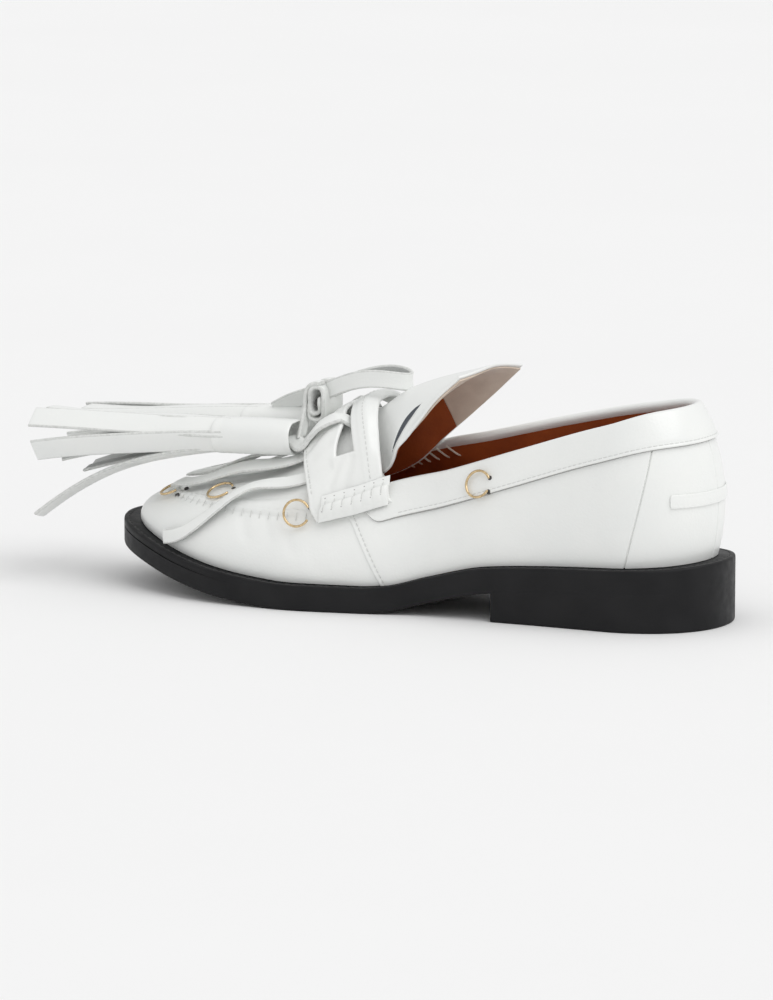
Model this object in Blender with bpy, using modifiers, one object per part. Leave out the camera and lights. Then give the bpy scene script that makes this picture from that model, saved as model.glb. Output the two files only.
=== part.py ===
"""Tassel loafer, left shoe: a leather loafer with apron toe, saddle strap, tied tassels and wire rings.

Frame: +X runs from heel to toe, +Y to the wearer's left, which is the outer side, and +Z up.
The origin is on the floor, at the middle of the heel's ground face. Sizes are in metres.
"""

import math

import bmesh
import bpy
import numpy as np
from mathutils import Vector

MM = 0.001

# Main sizes
SOLE_LENGTH = 270 * MM
HEEL_LENGTH = 88 * MM
HEEL_REACH = 7.0 * MM
TOE_REACH = 7.5 * MM
LAST_LENGTH = SOLE_LENGTH - HEEL_REACH - TOE_REACH
SOLE_BACK = -HEEL_LENGTH / 2
LAST_BACK = SOLE_BACK + HEEL_REACH
BREAST = SOLE_BACK + HEEL_LENGTH

# Thicknesses and clearances
GAP = 0.3 * MM
OUTSOLE_THICK = 7.0 * MM
WELT_THICK = 3.2 * MM
WALL = 2.2 * MM
INSOLE_PROUD = 0.8 * MM
WELT_SEAT = 0.8 * MM
EDGE_BREAK = 0.7 * MM
OVERLAY = 1.2 * MM

# Round ends of the last's plan
HEEL_ROUND = 33 * MM
TOE_ROUND = 66 * MM
HEEL_POWER = 2.15
TOE_POWER = 2.2

# Steps round the last, up its wall and across its apron
HALF_TURNS = 32
WALL_RISES = (0.0, 0.14, 0.28, 0.43, 0.58, 0.72, 0.84, 0.92, 0.965, 1.0)
APRON_HALF = (1.0, 0.96, 0.9, 0.75, 0.55, 0.3, 0.0)
TOE_SHARES = (0.35, 0.7, 0.86, 0.94, 1.0)
TOE_RIDGE_SHARE = 0.14
THROAT_TURN = HALF_TURNS // 2
THROAT_SLANT = 0.095
CROWN_POWER = 2.2
CROWN_ROUND = 0.8


class Table:
    """Rows of named columns, read by a smooth curve that never swings past its rows. Lengths are in mm."""

    def __init__(self, names, rows):
        self.names = names.split()
        self.columns = dict(zip(self.names, np.array(rows, float).T))
        self.keys = self.columns[self.names[0]]

    def raw(self, name, key):
        keys, values = self.keys, self.columns[name]
        key = min(max(key, keys[0]), keys[-1])
        i = min(int(np.searchsorted(keys, key, side="right")) - 1, len(keys) - 2)
        step = keys[i + 1] - keys[i]
        t = (key - keys[i]) / step
        start, end = self.slope(name, i) * step, self.slope(name, i + 1) * step
        rise = values[i + 1] - values[i]
        return values[i] + t * (start + t * (3 * rise - 2 * start - end + t * (start + end - 2 * rise)))

    def slope(self, name, i):
        keys, values = self.keys, self.columns[name]
        if i == 0 or i == len(keys) - 1:
            j = min(i, len(keys) - 2)
            return (values[j + 1] - values[j]) / (keys[j + 1] - keys[j])
        before = (values[i] - values[i - 1]) / (keys[i] - keys[i - 1])
        after = (values[i + 1] - values[i]) / (keys[i + 1] - keys[i])
        return 0.0 if before * after <= 0 else 2 * before * after / (before + after)

    def mm(self, name, key):
        return self.raw(name, key) * MM


# The last's plan. along: 0 at the heel, 1 at the toe. centre: + to the outer side.
# reach: how far the welt stands beyond the last.
PLAN = Table(
    "along half_width centre reach",
    [
        (0.00, 31.0, 0.0, 7.0),
        (0.08, 31.0, 0.1, 5.2),
        (0.20, 30.5, 0.6, 4.4),
        (0.42, 29.5, 3.4, 3.4),
        (0.55, 36.0, 3.0, 3.8),
        (0.66, 41.4, 1.6, 4.6),
        (0.76, 42.2, -0.6, 5.0),
        (0.90, 40.4, -3.6, 6.0),
        (1.00, 39.0, -5.6, 7.5),
    ],
)

# The outsole's lower face above the floor. along is a share of the sole's length.
LIFT = Table(
    "along height",
    [
        (0.00, 16.4),
        (0.06, 15.2),
        (0.12, 14.5),
        (0.25, 12.9),
        (0.34, 11.0),
        (0.43, 5.4),
        (0.50, 0.7),
        (0.535, 0.0),
        (0.65, 0.0),
        (0.70, 0.9),
        (0.77, 3.2),
        (0.84, 6.8),
        (0.92, 12.4),
        (1.00, 17.4),
    ],
)

# The wall from the welt to the collar (along up to 0.5) or the apron seam. top, inner_top: height above the
# floor on the outer and the inner side. lean: how far the top edge stands inside the last's plan.
# low_flare, high_flare: how full the wall is.
SIDE = Table(
    "along top inner_top lean low_flare high_flare high_share",
    [
        (0.00, 86.5, 86.5, 8.0, 5.2, 11.0, 0.72),
        (0.05, 85.2, 85.6, 7.0, 5.0, 10.0, 0.72),
        (0.15, 78.6, 82.0, 5.0, 4.4, 7.0, 0.72),
        (0.28, 67.8, 75.2, 5.5, 4.0, 6.0, 0.72),
        (0.40, 57.6, 67.8, 8.5, 4.0, 6.0, 0.72),
        (0.50, 50.0, 61.0, 11.0, 4.2, 6.0, 0.72),
        (0.56, 44.0, 55.0, 9.5, 4.2, 5.0, 0.72),
        (0.63, 39.0, 46.5, 8.5, 4.2, 4.5, 0.72),
        (0.72, 38.0, 40.5, 8.5, 4.0, 5.0, 0.75),
        (0.84, 39.0, 39.4, 10.0, 3.4, 7.0, 0.84),
        (1.00, 38.5, 38.5, 16.0, 2.6, 11.5, 0.96),
    ],
)

# How far the apron's middle rises above the seam on both sides of it
APRON = Table(
    "along crown",
    [
        (0.50, 25.0),
        (0.56, 30.0),
        (0.61, 30.0),
        (0.66, 21.8),
        (0.71, 15.6),
        (0.80, 8.6),
        (0.90, 4.0),
        (1.00, 0.5),
    ],
)

# The tongue's rows, from under the apron to its free end. Lengths run from the sole's back.
# outer_half, inner_half: from the middle line to each edge. skew: how far the outer edge is turned forward.
TONGUE = Table(
    "row edge_from_back outer_half inner_half edge_height mid_from_back mid_height skew",
    [
        (0, 160, 15.5, 15.5, 46.5, 175, 60.2, 0.0),
        (1, 150, 17.0, 16.0, 50.2, 163, 70.7, 0.0),
        (2, 141, 18.5, 16.3, 55.5, 150, 79.6, 0.0),
        (3, 133, 23.0, 18.5, 65.0, 137, 88.0, 1.0),
        (4, 122.5, 25.0, 22.0, 76.5, 122, 93.5, 2.5),
        (5, 113, 24.5, 23.0, 87.3, 110, 96.8, 4.0),
        (6, 103, 22.0, 21.5, 97.0, 102.5, 99.0, 4.2),
    ],
)
TONGUE_THICK = 2.0 * MM
TONGUE_CENTRE = 2.6 * MM
TONGUE_ROWS = 13
TONGUE_STEPS = 10

# Saddle strap: its edges along the last at the middle and at the ends, and the slot cut in its top
STRAP_THICK = 2.0 * MM
STRAP_LIFT_MIDDLE = 3.6 * MM
STRAP_LIFT_END = 0.4 * MM
STRAP_BACK = (0.5535, 0.4905)
STRAP_FRONT = (0.676, 0.612)
STRAP_END_RISE = 0.80
STRAP_STEPS = 22
STRAP_ROWS = 9
SLOT_ROWS = (3, 5)
SLOT_STEPS = (4, 18)

# Stitched roll at each end of the strap
ROLL_HEIGHT = 3.0 * MM
ROLL_RISES = (0.77, 1.04)
ROLL_STEPS = 8

# Ridge of the gathered seam round the apron, which starts under the strap
RIDGE_HEIGHT = 1.3 * MM
RIDGE_SHARE = 0.09
RIDGE_START = (0.60, 0.65)

# Collar band and the strip across the heel's back seam
BAND_DEPTH = 14 * MM
HEEL_STRIP_HEIGHTS = (49.5 * MM, 55 * MM)
HEEL_STRIP_END = 0.037

# Tassels. Lengths run from the sole's back.
CAP_LENGTH = 35 * MM
CAP_HALF_WIDTH = 10.5 * MM
CAP_HALF_HEIGHT = 7.8 * MM
STRIP_THICK = 1.3 * MM
STRIP_STEPS = 6
STRIP_INSIDE = 6 * MM
CAP_SIDES = 16
TASSEL = Table(
    "side from_back offset height tail_rise yaw droop_share",
    [
        (-1, 186.5, 13.5, 68.5, -3.0, 2.0, 0.3),
        (1, 185.5, 14.0, 66.0, -1.0, 1.0, 1.0),
    ],
)
# The strips of a tassel. turn: place round the cap, 90 on top and 0 on its outer side, in degrees.
STRIPS = Table(
    "strip turn length width spread droop",
    [
        (0, 92, 82, 10.0, 1.0, -1.0),
        (1, 38, 86, 10.5, 3.5, 0.0),
        (2, -18, 84, 10.0, 5.0, 5.0),
        (3, -62, 85, 7.0, 5.0, 26.0),
        (4, -112, 68, 7.0, 3.0, 9.0),
        (5, 196, 84, 9.0, 5.0, 9.0),
        (6, 145, 86, 10.0, 2.0, 1.0),
    ],
)

# Fringe under the tassels: strips on the apron, from a root under the strap's front edge towards the toe.
# hold: the share of a strip's length before it turns to the side.
FRINGE_THICK = 1.1 * MM
FRINGE_CLEAR = 0.9 * MM
FRINGE_STEPS = 9
FRINGE = Table(
    "strip across_start across_end along_end width lift hold",
    [
        (0, -0.70, -1.28, 0.87, 6.0, 3.5, 0.0),
        (1, -0.46, -0.70, 0.92, 6.5, 2.2, 0.0),
        (2, -0.18, -0.26, 0.93, 6.5, 3.6, 0.0),
        (3, 0.16, 0.24, 0.94, 6.5, 4.0, 0.0),
        (4, 0.48, 0.84, 0.945, 8.0, 4.6, 0.38),
        (5, 0.80, 1.80, 0.889, 6.0, 2.2, 0.40),
    ],
)
# The root's two edges and the strips' start, as shares of the last's length behind the strap's front edge
FRINGE_ROOT = (0.021, 0.001)
FRINGE_INSIDE = 0.016
FRINGE_HALF = 0.88

# Tie: knot at the strap's front edge, bow loop behind it and a thong from the knot to each tassel.
# Places are (from the sole's back, height).
KNOT_PLACE = (179.2 * MM, 78.8 * MM)
KNOT_HALF = (4.0 * MM, 8.5 * MM, 7.2 * MM)
KNOT_POWER = 0.75
BOW_PLACE = (174.2 * MM, 84.0 * MM)
BOW_LENGTH = 33 * MM
BOW_HALF_WIDTH = 10 * MM
BOW_BAND = 7.5 * MM
BOW_THICK = 1.5 * MM
BOW_RISE = 7.5 * MM
BOW_STEPS = 28
THONG_WIDTH = 7.0 * MM
THONG_THICK = 1.8 * MM
THONG_APART = 5.0 * MM
# A thong's way over the knot. ahead and above are shares of the knot's half length and half height.
THONG = Table(
    "place ahead above",
    [
        (0, -0.25, 1.00),
        (1, 0.30, 0.97),
        (2, 0.74, 0.78),
        (3, 0.97, 0.35),
        (4, 1.02, -0.20),
    ],
)
THONG_STEPS = 12

# Ring piercings: wire rings with open ends on a hinge line, lying on the leather
RING_RADIUS = 5.4 * MM
RING_WIRE = 0.6 * MM
RING_OPEN_DEG = 62
RING_STEPS = 20
RING_SIDES = 6
RINGS = Table(
    "ring along rise",
    [
        (0, 0.325, 0.75),
        (1, 0.629, 0.94),
        (2, 0.800, 1.20),
        (3, 0.930, 1.00),
    ],
)
RING_NAMES = ("ring_collar", "ring_saddle", "ring_apron_side", "ring_apron_toe")
RING_LIFTS = (2.6 * MM, 3.0 * MM, 1.2 * MM, 1.6 * MM)


def material(name, colour, roughness, metallic=0.0):
    made = bpy.data.materials.new(name)
    made.use_nodes = True
    shader = made.node_tree.nodes["Principled BSDF"]
    shader.inputs["Base Color"].default_value = (*colour, 1.0)
    shader.inputs["Roughness"].default_value = roughness
    shader.inputs["Metallic"].default_value = metallic
    return made


def new_object(name, bm, finish, collection):
    """A mesh object from bm, welded, with its faces pointing out."""
    bmesh.ops.remove_doubles(bm, verts=bm.verts, dist=1e-6)
    bmesh.ops.dissolve_degenerate(bm, edges=bm.edges, dist=1e-7)
    bmesh.ops.recalc_face_normals(bm, faces=bm.faces)
    mesh = bpy.data.meshes.new(name)
    bm.to_mesh(mesh)
    bm.free()
    mesh.materials.append(finish)
    mesh.shade_smooth()
    mesh.set_sharp_from_angle(angle=math.radians(40))
    obj = bpy.data.objects.new(name, mesh)
    collection.objects.link(obj)
    return obj


def loft(sections, caps=(True, True)):
    """A bmesh skin through closed sections of equal count, with flat caps where asked."""
    bm = bmesh.new()
    rings = [[bm.verts.new(p) for p in section] for section in sections]
    count = len(rings[0])
    for first, second in zip(rings, rings[1:]):
        for i in range(count):
            j = (i + 1) % count
            bm.faces.new((first[i], first[j], second[j], second[i]))
    if caps[0]:
        bm.faces.new(rings[0][::-1])
    if caps[1]:
        bm.faces.new(rings[-1])
    return bm


def grid(rows, closed=False, skip=()):
    """A bmesh sheet through rows of points. skip holds the (row, step) cells left open."""
    bm = bmesh.new()
    verts = [[bm.verts.new(p) for p in row] for row in rows]
    for i in range(len(verts) - (0 if closed else 1)):
        here, there = verts[i], verts[(i + 1) % len(verts)]
        for j in range(len(here) - 1):
            if (i, j) not in skip:
                bm.faces.new((here[j], there[j], there[j + 1], here[j + 1]))
    bmesh.ops.delete(bm, geom=[v for v in bm.verts if not v.link_faces], context="VERTS")
    return bm


def face_out(bm):
    """Turns a sheet's faces away from the line that runs through the shoe's middle."""
    bm.normal_update()
    middle = 30 * MM
    total = sum(
        face.normal.dot(face.calc_center_median() - Vector((face.calc_center_median().x, 0, middle)))
        for face in bm.faces
    )
    if total < 0:
        bmesh.ops.reverse_faces(bm, faces=bm.faces)


def shell(name, bm, thick, side, finish, collection, even=True):
    """A sheet with Solidify. side -1 thickens it inwards and +1 outwards."""
    bmesh.ops.remove_doubles(bm, verts=bm.verts, dist=1e-6)
    face_out(bm)
    mesh = bpy.data.meshes.new(name)
    bm.to_mesh(mesh)
    bm.free()
    mesh.materials.append(finish)
    mesh.shade_smooth()
    obj = bpy.data.objects.new(name, mesh)
    collection.objects.link(obj)
    solidify = obj.modifiers.new("Solidify", "SOLIDIFY")
    solidify.thickness = thick
    solidify.offset = side
    solidify.use_even_offset = even
    solidify.use_quality_normals = True
    return obj


def along_of(turn):
    """Share of the last's length at an angle round its plan: 0 at the heel, pi at the toe."""
    return (1 - math.cos(turn)) / 2


def turn_of(side, along):
    turn = math.acos(1 - 2 * min(max(along, 0.0), 1.0))
    return turn if side > 0 else 2 * math.pi - turn


def round_end(distance, radius, power):
    inside = max(0.0, 1 - distance / radius)
    return (1 - inside**power) ** (1 / power)


def feather(turn):
    """The last's bottom edge in plan."""
    along = along_of(turn)
    side = 1 if turn % (2 * math.pi) < math.pi else -1
    half = PLAN.mm("half_width", along)
    half *= round_end(along * LAST_LENGTH, HEEL_ROUND, HEEL_POWER)
    half *= round_end((1 - along) * LAST_LENGTH, TOE_ROUND, TOE_POWER)
    return Vector((LAST_BACK + along * LAST_LENGTH, PLAN.mm("centre", along) + side * half, 0))


def outward(turn):
    """The plan's outward direction."""
    step = 0.02
    run = feather(turn + step) - feather(turn - step)
    return Vector((-run.y, run.x, 0)).normalized()


def outline(turn, extra=0.0):
    """The sole's edge in plan, moved out by extra."""
    reach = PLAN.mm("reach", along_of(turn))
    return feather(turn) + outward(turn) * (reach + extra)


def sole_low(x):
    """Height of the outsole's lower face."""
    return LIFT.mm("height", (x - SOLE_BACK) / SOLE_LENGTH)


def welt_top(x):
    return sole_low(x) + OUTSOLE_THICK + GAP + WELT_THICK


def seam_ridge(along, share):
    """Height of the apron seam's ridge. share: distance from the seam as a share of the wall or the apron."""
    start = min(max((along - RIDGE_START[0]) / (RIDGE_START[1] - RIDGE_START[0]), 0.0), 1.0)
    return RIDGE_HEIGHT * start * max(0.0, 1 - (share / RIDGE_SHARE) ** 2)


def wall_point(turn, rise):
    """A point on the outside of the upper's wall. rise: 0 at the welt, 1 at the collar or apron seam."""
    along = along_of(turn)
    base = feather(turn)
    low = welt_top(base.x) + GAP
    side_top = "top" if turn % (2 * math.pi) < math.pi else "inner_top"
    height = SIDE.mm(side_top, along) - low
    lean = SIDE.mm("lean", along)
    outs = (0, SIDE.mm("low_flare", along), SIDE.mm("high_flare", along) - lean, -lean)
    ups = (0, 0.34 * height, SIDE.raw("high_share", along) * height, height)
    weights = ((1 - rise) ** 3, 3 * rise * (1 - rise) ** 2, 3 * rise**2 * (1 - rise), rise**3)
    ridge = seam_ridge(along, 1 - rise)
    out = sum(w * o for w, o in zip(weights, outs)) + ridge * 0.6
    up = sum(w * u for w, u in zip(weights, ups)) + ridge * 0.8
    return base + outward(turn) * out + Vector((0, 0, low + up))


def apron_point(along, across):
    """A point on the outside of the apron. across: 1 at the outer seam, 0 in the middle, -1 at the inner."""
    outer = wall_point(turn_of(1, along), 1)
    inner = wall_point(turn_of(-1, along), 1)
    share = (1 + across) / 2
    crown = APRON.mm("crown", along) * max(0.0, 1 - abs(across) ** CROWN_POWER) ** CROWN_ROUND
    sink = 0.8 * (seam_ridge(along, 0.0) - seam_ridge(along, 1 - abs(across)))
    return inner.lerp(outer, share) + Vector((0, 0, crown - sink))


def skin_point(side, along, rise):
    """A point on the upper's outside. rise: 0 to 1 up the wall, then 1 to 2 over the apron to its middle."""
    if rise <= 1:
        return wall_point(turn_of(side, along), max(rise, 0.0))
    return apron_point(along, side * (2 - rise))


def skin_normal(side, along, rise):
    step = 0.03
    low, high = max(0.0, along - step / 3), min(1.0, along + step / 3)
    run = skin_point(side, high, rise) - skin_point(side, low, rise)
    climb = skin_point(side, along, rise + step) - skin_point(side, along, max(0.0, rise - step))
    normal = climb.cross(run) if side > 0 else run.cross(climb)
    return normal.normalized()


def lifted(side, along, rise, lift):
    return skin_point(side, along, rise) + skin_normal(side, along, rise) * lift


def half_turn_steps():
    return [math.pi * k / HALF_TURNS for k in range(HALF_TURNS + 1)]


def slab_sections(turns, levels):
    """Closed sections across the sole. levels: (move out, height at x) from the bottom up."""
    sections = []
    for turn in turns:
        outer, inner = [], []
        for extra, height in levels:
            for chain, angle in ((outer, turn), (inner, 2 * math.pi - turn)):
                point = outline(angle, extra)
                chain.append(Vector((point.x, point.y, height(point.x))))
        sections.append(outer + inner[::-1])
    return sections


def build_outsole(finish, collection):
    levels = [
        (-EDGE_BREAK, sole_low),
        (0.0, lambda x: sole_low(x) + EDGE_BREAK),
        (0.0, lambda x: sole_low(x) + OUTSOLE_THICK - EDGE_BREAK),
        (-EDGE_BREAK, lambda x: sole_low(x) + OUTSOLE_THICK),
    ]
    bm = loft(slab_sections(half_turn_steps(), levels), caps=(False, False))
    return new_object("outsole", bm, finish, collection)


def build_heel(finish, collection):
    breast_turn = turn_of(1, (BREAST - LAST_BACK) / LAST_LENGTH)
    turns = [t for t in half_turn_steps() if t < breast_turn - 0.02] + [breast_turn]
    levels = [
        (-EDGE_BREAK, lambda x: 0.0),
        (0.0, lambda x: EDGE_BREAK),
        (0.0, lambda x: sole_low(x) - GAP),
    ]
    bm = loft(slab_sections(turns, levels), caps=(False, True))
    return new_object("heel", bm, finish, collection)


def build_welt(finish, collection):
    """A strip all round: its outer edge is the sole's, its inner edge lies just inside the upper's wall."""
    sections = []
    for k in range(2 * HALF_TURNS):
        turn = math.pi * k / HALF_TURNS
        inner = feather(turn) - outward(turn) * (WALL + WELT_SEAT)
        edge, broken = outline(turn), outline(turn, -EDGE_BREAK)
        ring = [(inner, 0), (broken, 0), (edge, EDGE_BREAK), (edge, WELT_THICK - EDGE_BREAK)]
        ring += [(broken, WELT_THICK), (inner, WELT_THICK)]
        sections.append([Vector((p.x, p.y, welt_top(p.x) - WELT_THICK + up)) for p, up in ring])
    bm = loft(sections + sections[:1], caps=(False, False))
    return new_object("welt", bm, finish, collection)


def build_insole(finish, collection):
    """The footbed: it lies on the outsole, inside the welt."""
    inset = WALL + WELT_SEAT + GAP
    sections = []
    for turn in half_turn_steps():
        chains = []
        for angle in (turn, 2 * math.pi - turn):
            p = feather(angle) - outward(angle) * inset
            low = welt_top(p.x) - WELT_THICK
            chains.append([(p.x, p.y, low), (p.x, p.y, low + WELT_THICK + INSOLE_PROUD)])
        sections.append([Vector(p) for p in chains[0] + chains[1][::-1]])
    bm = loft(sections, caps=(False, False))
    return new_object("insole", bm, finish, collection)


def toe_point(start, end, across, share):
    """A point of the apron's toe, between its last straight row and the seam round the toe."""
    ridge = RIDGE_HEIGHT * 0.8
    held = ridge * max(0.0, 1 - ((1 - abs(across)) / RIDGE_SHARE) ** 2)
    near = ridge * max(0.0, 1 - ((1 - share) / TOE_RIDGE_SHARE) ** 2)
    flat = (start - Vector((0, 0, held))).lerp(end - Vector((0, 0, ridge)), share)
    return flat + Vector((0, 0, max(held, near)))


def build_upper(finish, collection):
    """One hollow shell: the wall all round and the apron over the toe, open at collar, throat and bottom."""
    columns = 2 * HALF_TURNS
    rows = [
        [wall_point(math.pi * j / HALF_TURNS, rise) for rise in WALL_RISES]
        for j in range(columns)
    ]
    bm = grid(rows, closed=True)
    acrosses = APRON_HALF + tuple(-across for across in APRON_HALF[-2::-1])
    last = HALF_TURNS - len(APRON_HALF) + 1
    apron = []
    for k in range(THROAT_TURN, last + 1):
        along = along_of(math.pi * k / HALF_TURNS)
        fade = (last - k) / (last - THROAT_TURN)
        row = []
        for across in acrosses:
            row.append(apron_point(along + THROAT_SLANT * (1 - across**2) * fade, across))
        apron.append(row)
    edge = [wall_point(math.pi * k / HALF_TURNS, 1) for k in range(last, 2 * HALF_TURNS - last + 1)]
    front = apron[-1]
    for share in TOE_SHARES:
        row = zip(front, edge, acrosses)
        apron.append([toe_point(start, end, across, share) for start, end, across in row])
    top = grid(apron)
    mesh = bpy.data.meshes.new("apron")
    top.to_mesh(mesh)
    top.free()
    bm.from_mesh(mesh)
    bpy.data.meshes.remove(mesh)
    bmesh.ops.remove_doubles(bm, verts=bm.verts, dist=1e-6)
    bmesh.ops.dissolve_degenerate(bm, edges=bm.edges, dist=1e-7)
    bmesh.ops.recalc_face_normals(bm, faces=bm.faces)
    return shell("upper", bm, WALL, -1, finish, collection, even=False)


def tongue_point(row, across):
    half = TONGUE.mm("outer_half" if across > 0 else "inner_half", row)
    edge = Vector(
        (
            SOLE_BACK + TONGUE.mm("edge_from_back", row) + TONGUE.mm("skew", row) * across,
            TONGUE_CENTRE + half * across,
            TONGUE.mm("edge_height", row),
        )
    )
    middle = Vector((SOLE_BACK + TONGUE.mm("mid_from_back", row), edge.y, TONGUE.mm("mid_height", row)))
    return middle.lerp(edge, across**2)


def build_tongue(finish, collection):
    last_row = len(TONGUE.keys) - 1
    rows = [
        [
            tongue_point(last_row * i / TONGUE_ROWS, 1 - 2 * j / TONGUE_STEPS)
            for j in range(TONGUE_STEPS + 1)
        ]
        for i in range(TONGUE_ROWS + 1)
    ]
    return shell("tongue", grid(rows), TONGUE_THICK, -1, finish, collection)


def strap_edge(edge, across):
    """Share of the last's length at the strap's back or front edge."""
    return edge[0] + (edge[1] - edge[0]) * abs(across) ** 1.5


def strap_place(row_share, across):
    """Side, along and rise on the skin for a place on the strap. across: 1 at the outer end."""
    back, front = strap_edge(STRAP_BACK, across), strap_edge(STRAP_FRONT, across)
    side = 1 if across >= 0 else -1
    return side, back + (front - back) * row_share, 2 - abs(across) * (2 - STRAP_END_RISE)


def strap_point(row_share, across):
    share = min(1.0, abs(across) ** 3)
    lift = STRAP_LIFT_MIDDLE + (STRAP_LIFT_END - STRAP_LIFT_MIDDLE) * share
    return lifted(*strap_place(row_share, across), lift)


def build_strap(finish, collection):
    rows = [
        [strap_point(i / STRAP_ROWS, 1 - 2 * j / STRAP_STEPS) for j in range(STRAP_STEPS + 1)]
        for i in range(STRAP_ROWS + 1)
    ]
    slot = {(i, j) for i in range(*SLOT_ROWS) for j in range(*SLOT_STEPS)}
    return shell("saddle_strap", grid(rows, skip=slot), STRAP_THICK, 1, finish, collection)


def build_roll(name, side, finish, collection):
    """The padded, stitched roll over the strap's end, along the apron seam."""
    clear = STRAP_LIFT_END + STRAP_THICK + GAP
    sections = []
    for i in range(ROLL_STEPS + 1):
        share = i / ROLL_STEPS
        along = STRAP_BACK[1] + (STRAP_FRONT[1] - STRAP_BACK[1]) * (0.04 + 0.92 * share)
        fullness = (1 - abs(2 * share - 1) ** 6) ** 0.5
        low, high = [], []
        for j in range(ROLL_STEPS + 1):
            across = j / ROLL_STEPS
            rise = ROLL_RISES[0] + (ROLL_RISES[1] - ROLL_RISES[0]) * across
            swell = (0.3 + 0.7 * fullness) * math.sin(math.pi * (0.08 + 0.84 * across)) ** 0.7
            place = (side, along, rise)
            spare = strap_spare(place)
            low.append(lifted(*place, clear + spare))
            high.append(lifted(*place, clear + spare + ROLL_HEIGHT * swell))
        sections.append(low + high[::-1])
    return new_object(name, loft(sections), finish, collection)


def strap_spare(place):
    """How far the strap stands above its end's lift at a place on the skin."""
    across = (2 - place[2]) / (2 - STRAP_END_RISE)
    share = min(1.0, across**3)
    return max(0.0, (STRAP_LIFT_MIDDLE - STRAP_LIFT_END) * (1 - share))


def build_collar_band(finish, collection):
    """A strip of leather round the collar, from throat to throat, outside the wall."""
    columns = [math.pi * k / HALF_TURNS for k in range(-THROAT_TURN + 1, THROAT_TURN)]
    rows = []
    for turn in columns:
        base = welt_top(feather(turn).x) + GAP
        depth = BAND_DEPTH / (wall_point(turn % (2 * math.pi), 1).z - base)
        rises = [1 - depth * share * 0.95 for share in (0.0, 0.33, 0.67, 1.0)]
        rows.append([wall_lifted(turn % (2 * math.pi), rise, GAP) for rise in rises])
    return shell("collar_band", grid(rows), OVERLAY, 1, finish, collection)


def wall_lifted(turn, rise, lift):
    """A point off the wall, with its direction found round the plan, which also holds at heel and toe."""
    step = 0.03
    run = wall_point(turn + step, rise) - wall_point(turn - step, rise)
    climb = wall_point(turn, rise) - wall_point(turn, rise - step)
    return wall_point(turn, rise) + climb.cross(run).normalized() * lift


def build_heel_strip(finish, collection):
    """The small strip across the heel's back seam."""
    last = turn_of(1, HEEL_STRIP_END)
    steps = 12
    rows = []
    for i in range(steps + 1):
        turn = -last + 2 * last * i / steps
        row = []
        for height in np.linspace(*HEEL_STRIP_HEIGHTS, 4):
            row.append(wall_lifted(turn % (2 * math.pi), rise_at(turn, height), GAP))
        rows.append(row)
    return shell("heel_strip", grid(rows), OVERLAY, 1, finish, collection)


def rise_at(turn, height):
    """The wall's rise at a height above the floor, by halving."""
    low, high = 0.0, 1.0
    for _ in range(24):
        middle = (low + high) / 2
        if wall_point(turn, middle).z < height:
            low = middle
        else:
            high = middle
    return low


def strip_solid(name, path, widths, ups, thick, helpers):
    """A flat strip along a path. widths: half-width vectors, ups: unit vectors through its thickness."""
    sections = []
    for point, width, up in zip(path, widths, ups):
        lift = up * thick / 2
        low, high = point - lift, point + lift
        sections.append([low - width, low + width, high + width, high - width])
    obj = new_object(name, loft(sections), helpers["finish"], helpers["collection"])
    obj.hide_render = True
    obj.display_type = "WIRE"
    return obj


def fuse(obj, others):
    for other in others:
        joined = obj.modifiers.new(other.name, "BOOLEAN")
        joined.operation = "UNION"
        joined.solver = "EXACT"
        joined.object = other


def cap_frame(side):
    """Start point, forward, sideways and upward directions of a tassel's cap."""
    start = Vector(
        (
            SOLE_BACK + TASSEL.mm("from_back", side),
            side * TASSEL.mm("offset", side),
            TASSEL.mm("height", side),
        )
    )
    yaw = math.radians(TASSEL.raw("yaw", side)) * side
    forward = Vector((math.cos(yaw), math.sin(yaw), TASSEL.mm("tail_rise", side) / CAP_LENGTH)).normalized()
    sideways = Vector((0, 0, 1)).cross(forward).normalized() * side
    return start, forward, sideways, forward.cross(sideways).normalized() * side


def build_tassel(name, side, finish, collection, helpers):
    """A rolled cap with flat strips let into its front end."""
    start, forward, sideways, upward = cap_frame(side)
    sections = []
    for share, size in ((0.0, 0.82), (0.06, 0.95), (0.5, 1.0), (0.94, 1.0), (1.0, 0.97)):
        middle = start + forward * CAP_LENGTH * share
        ring = []
        for i in range(CAP_SIDES):
            angle = 2 * math.pi * i / CAP_SIDES
            flat = sideways * math.cos(angle) * CAP_HALF_WIDTH + upward * math.sin(angle) * CAP_HALF_HEIGHT
            ring.append(middle + flat * size)
        sections.append(ring)
    cap = new_object(name, loft(sections), finish, collection)
    strips = []
    for index in STRIPS.keys:
        strips.append(tassel_strip(f"{name}_strip_{int(index)}", side, int(index), helpers))
    fuse(cap, strips)
    return cap


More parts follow.
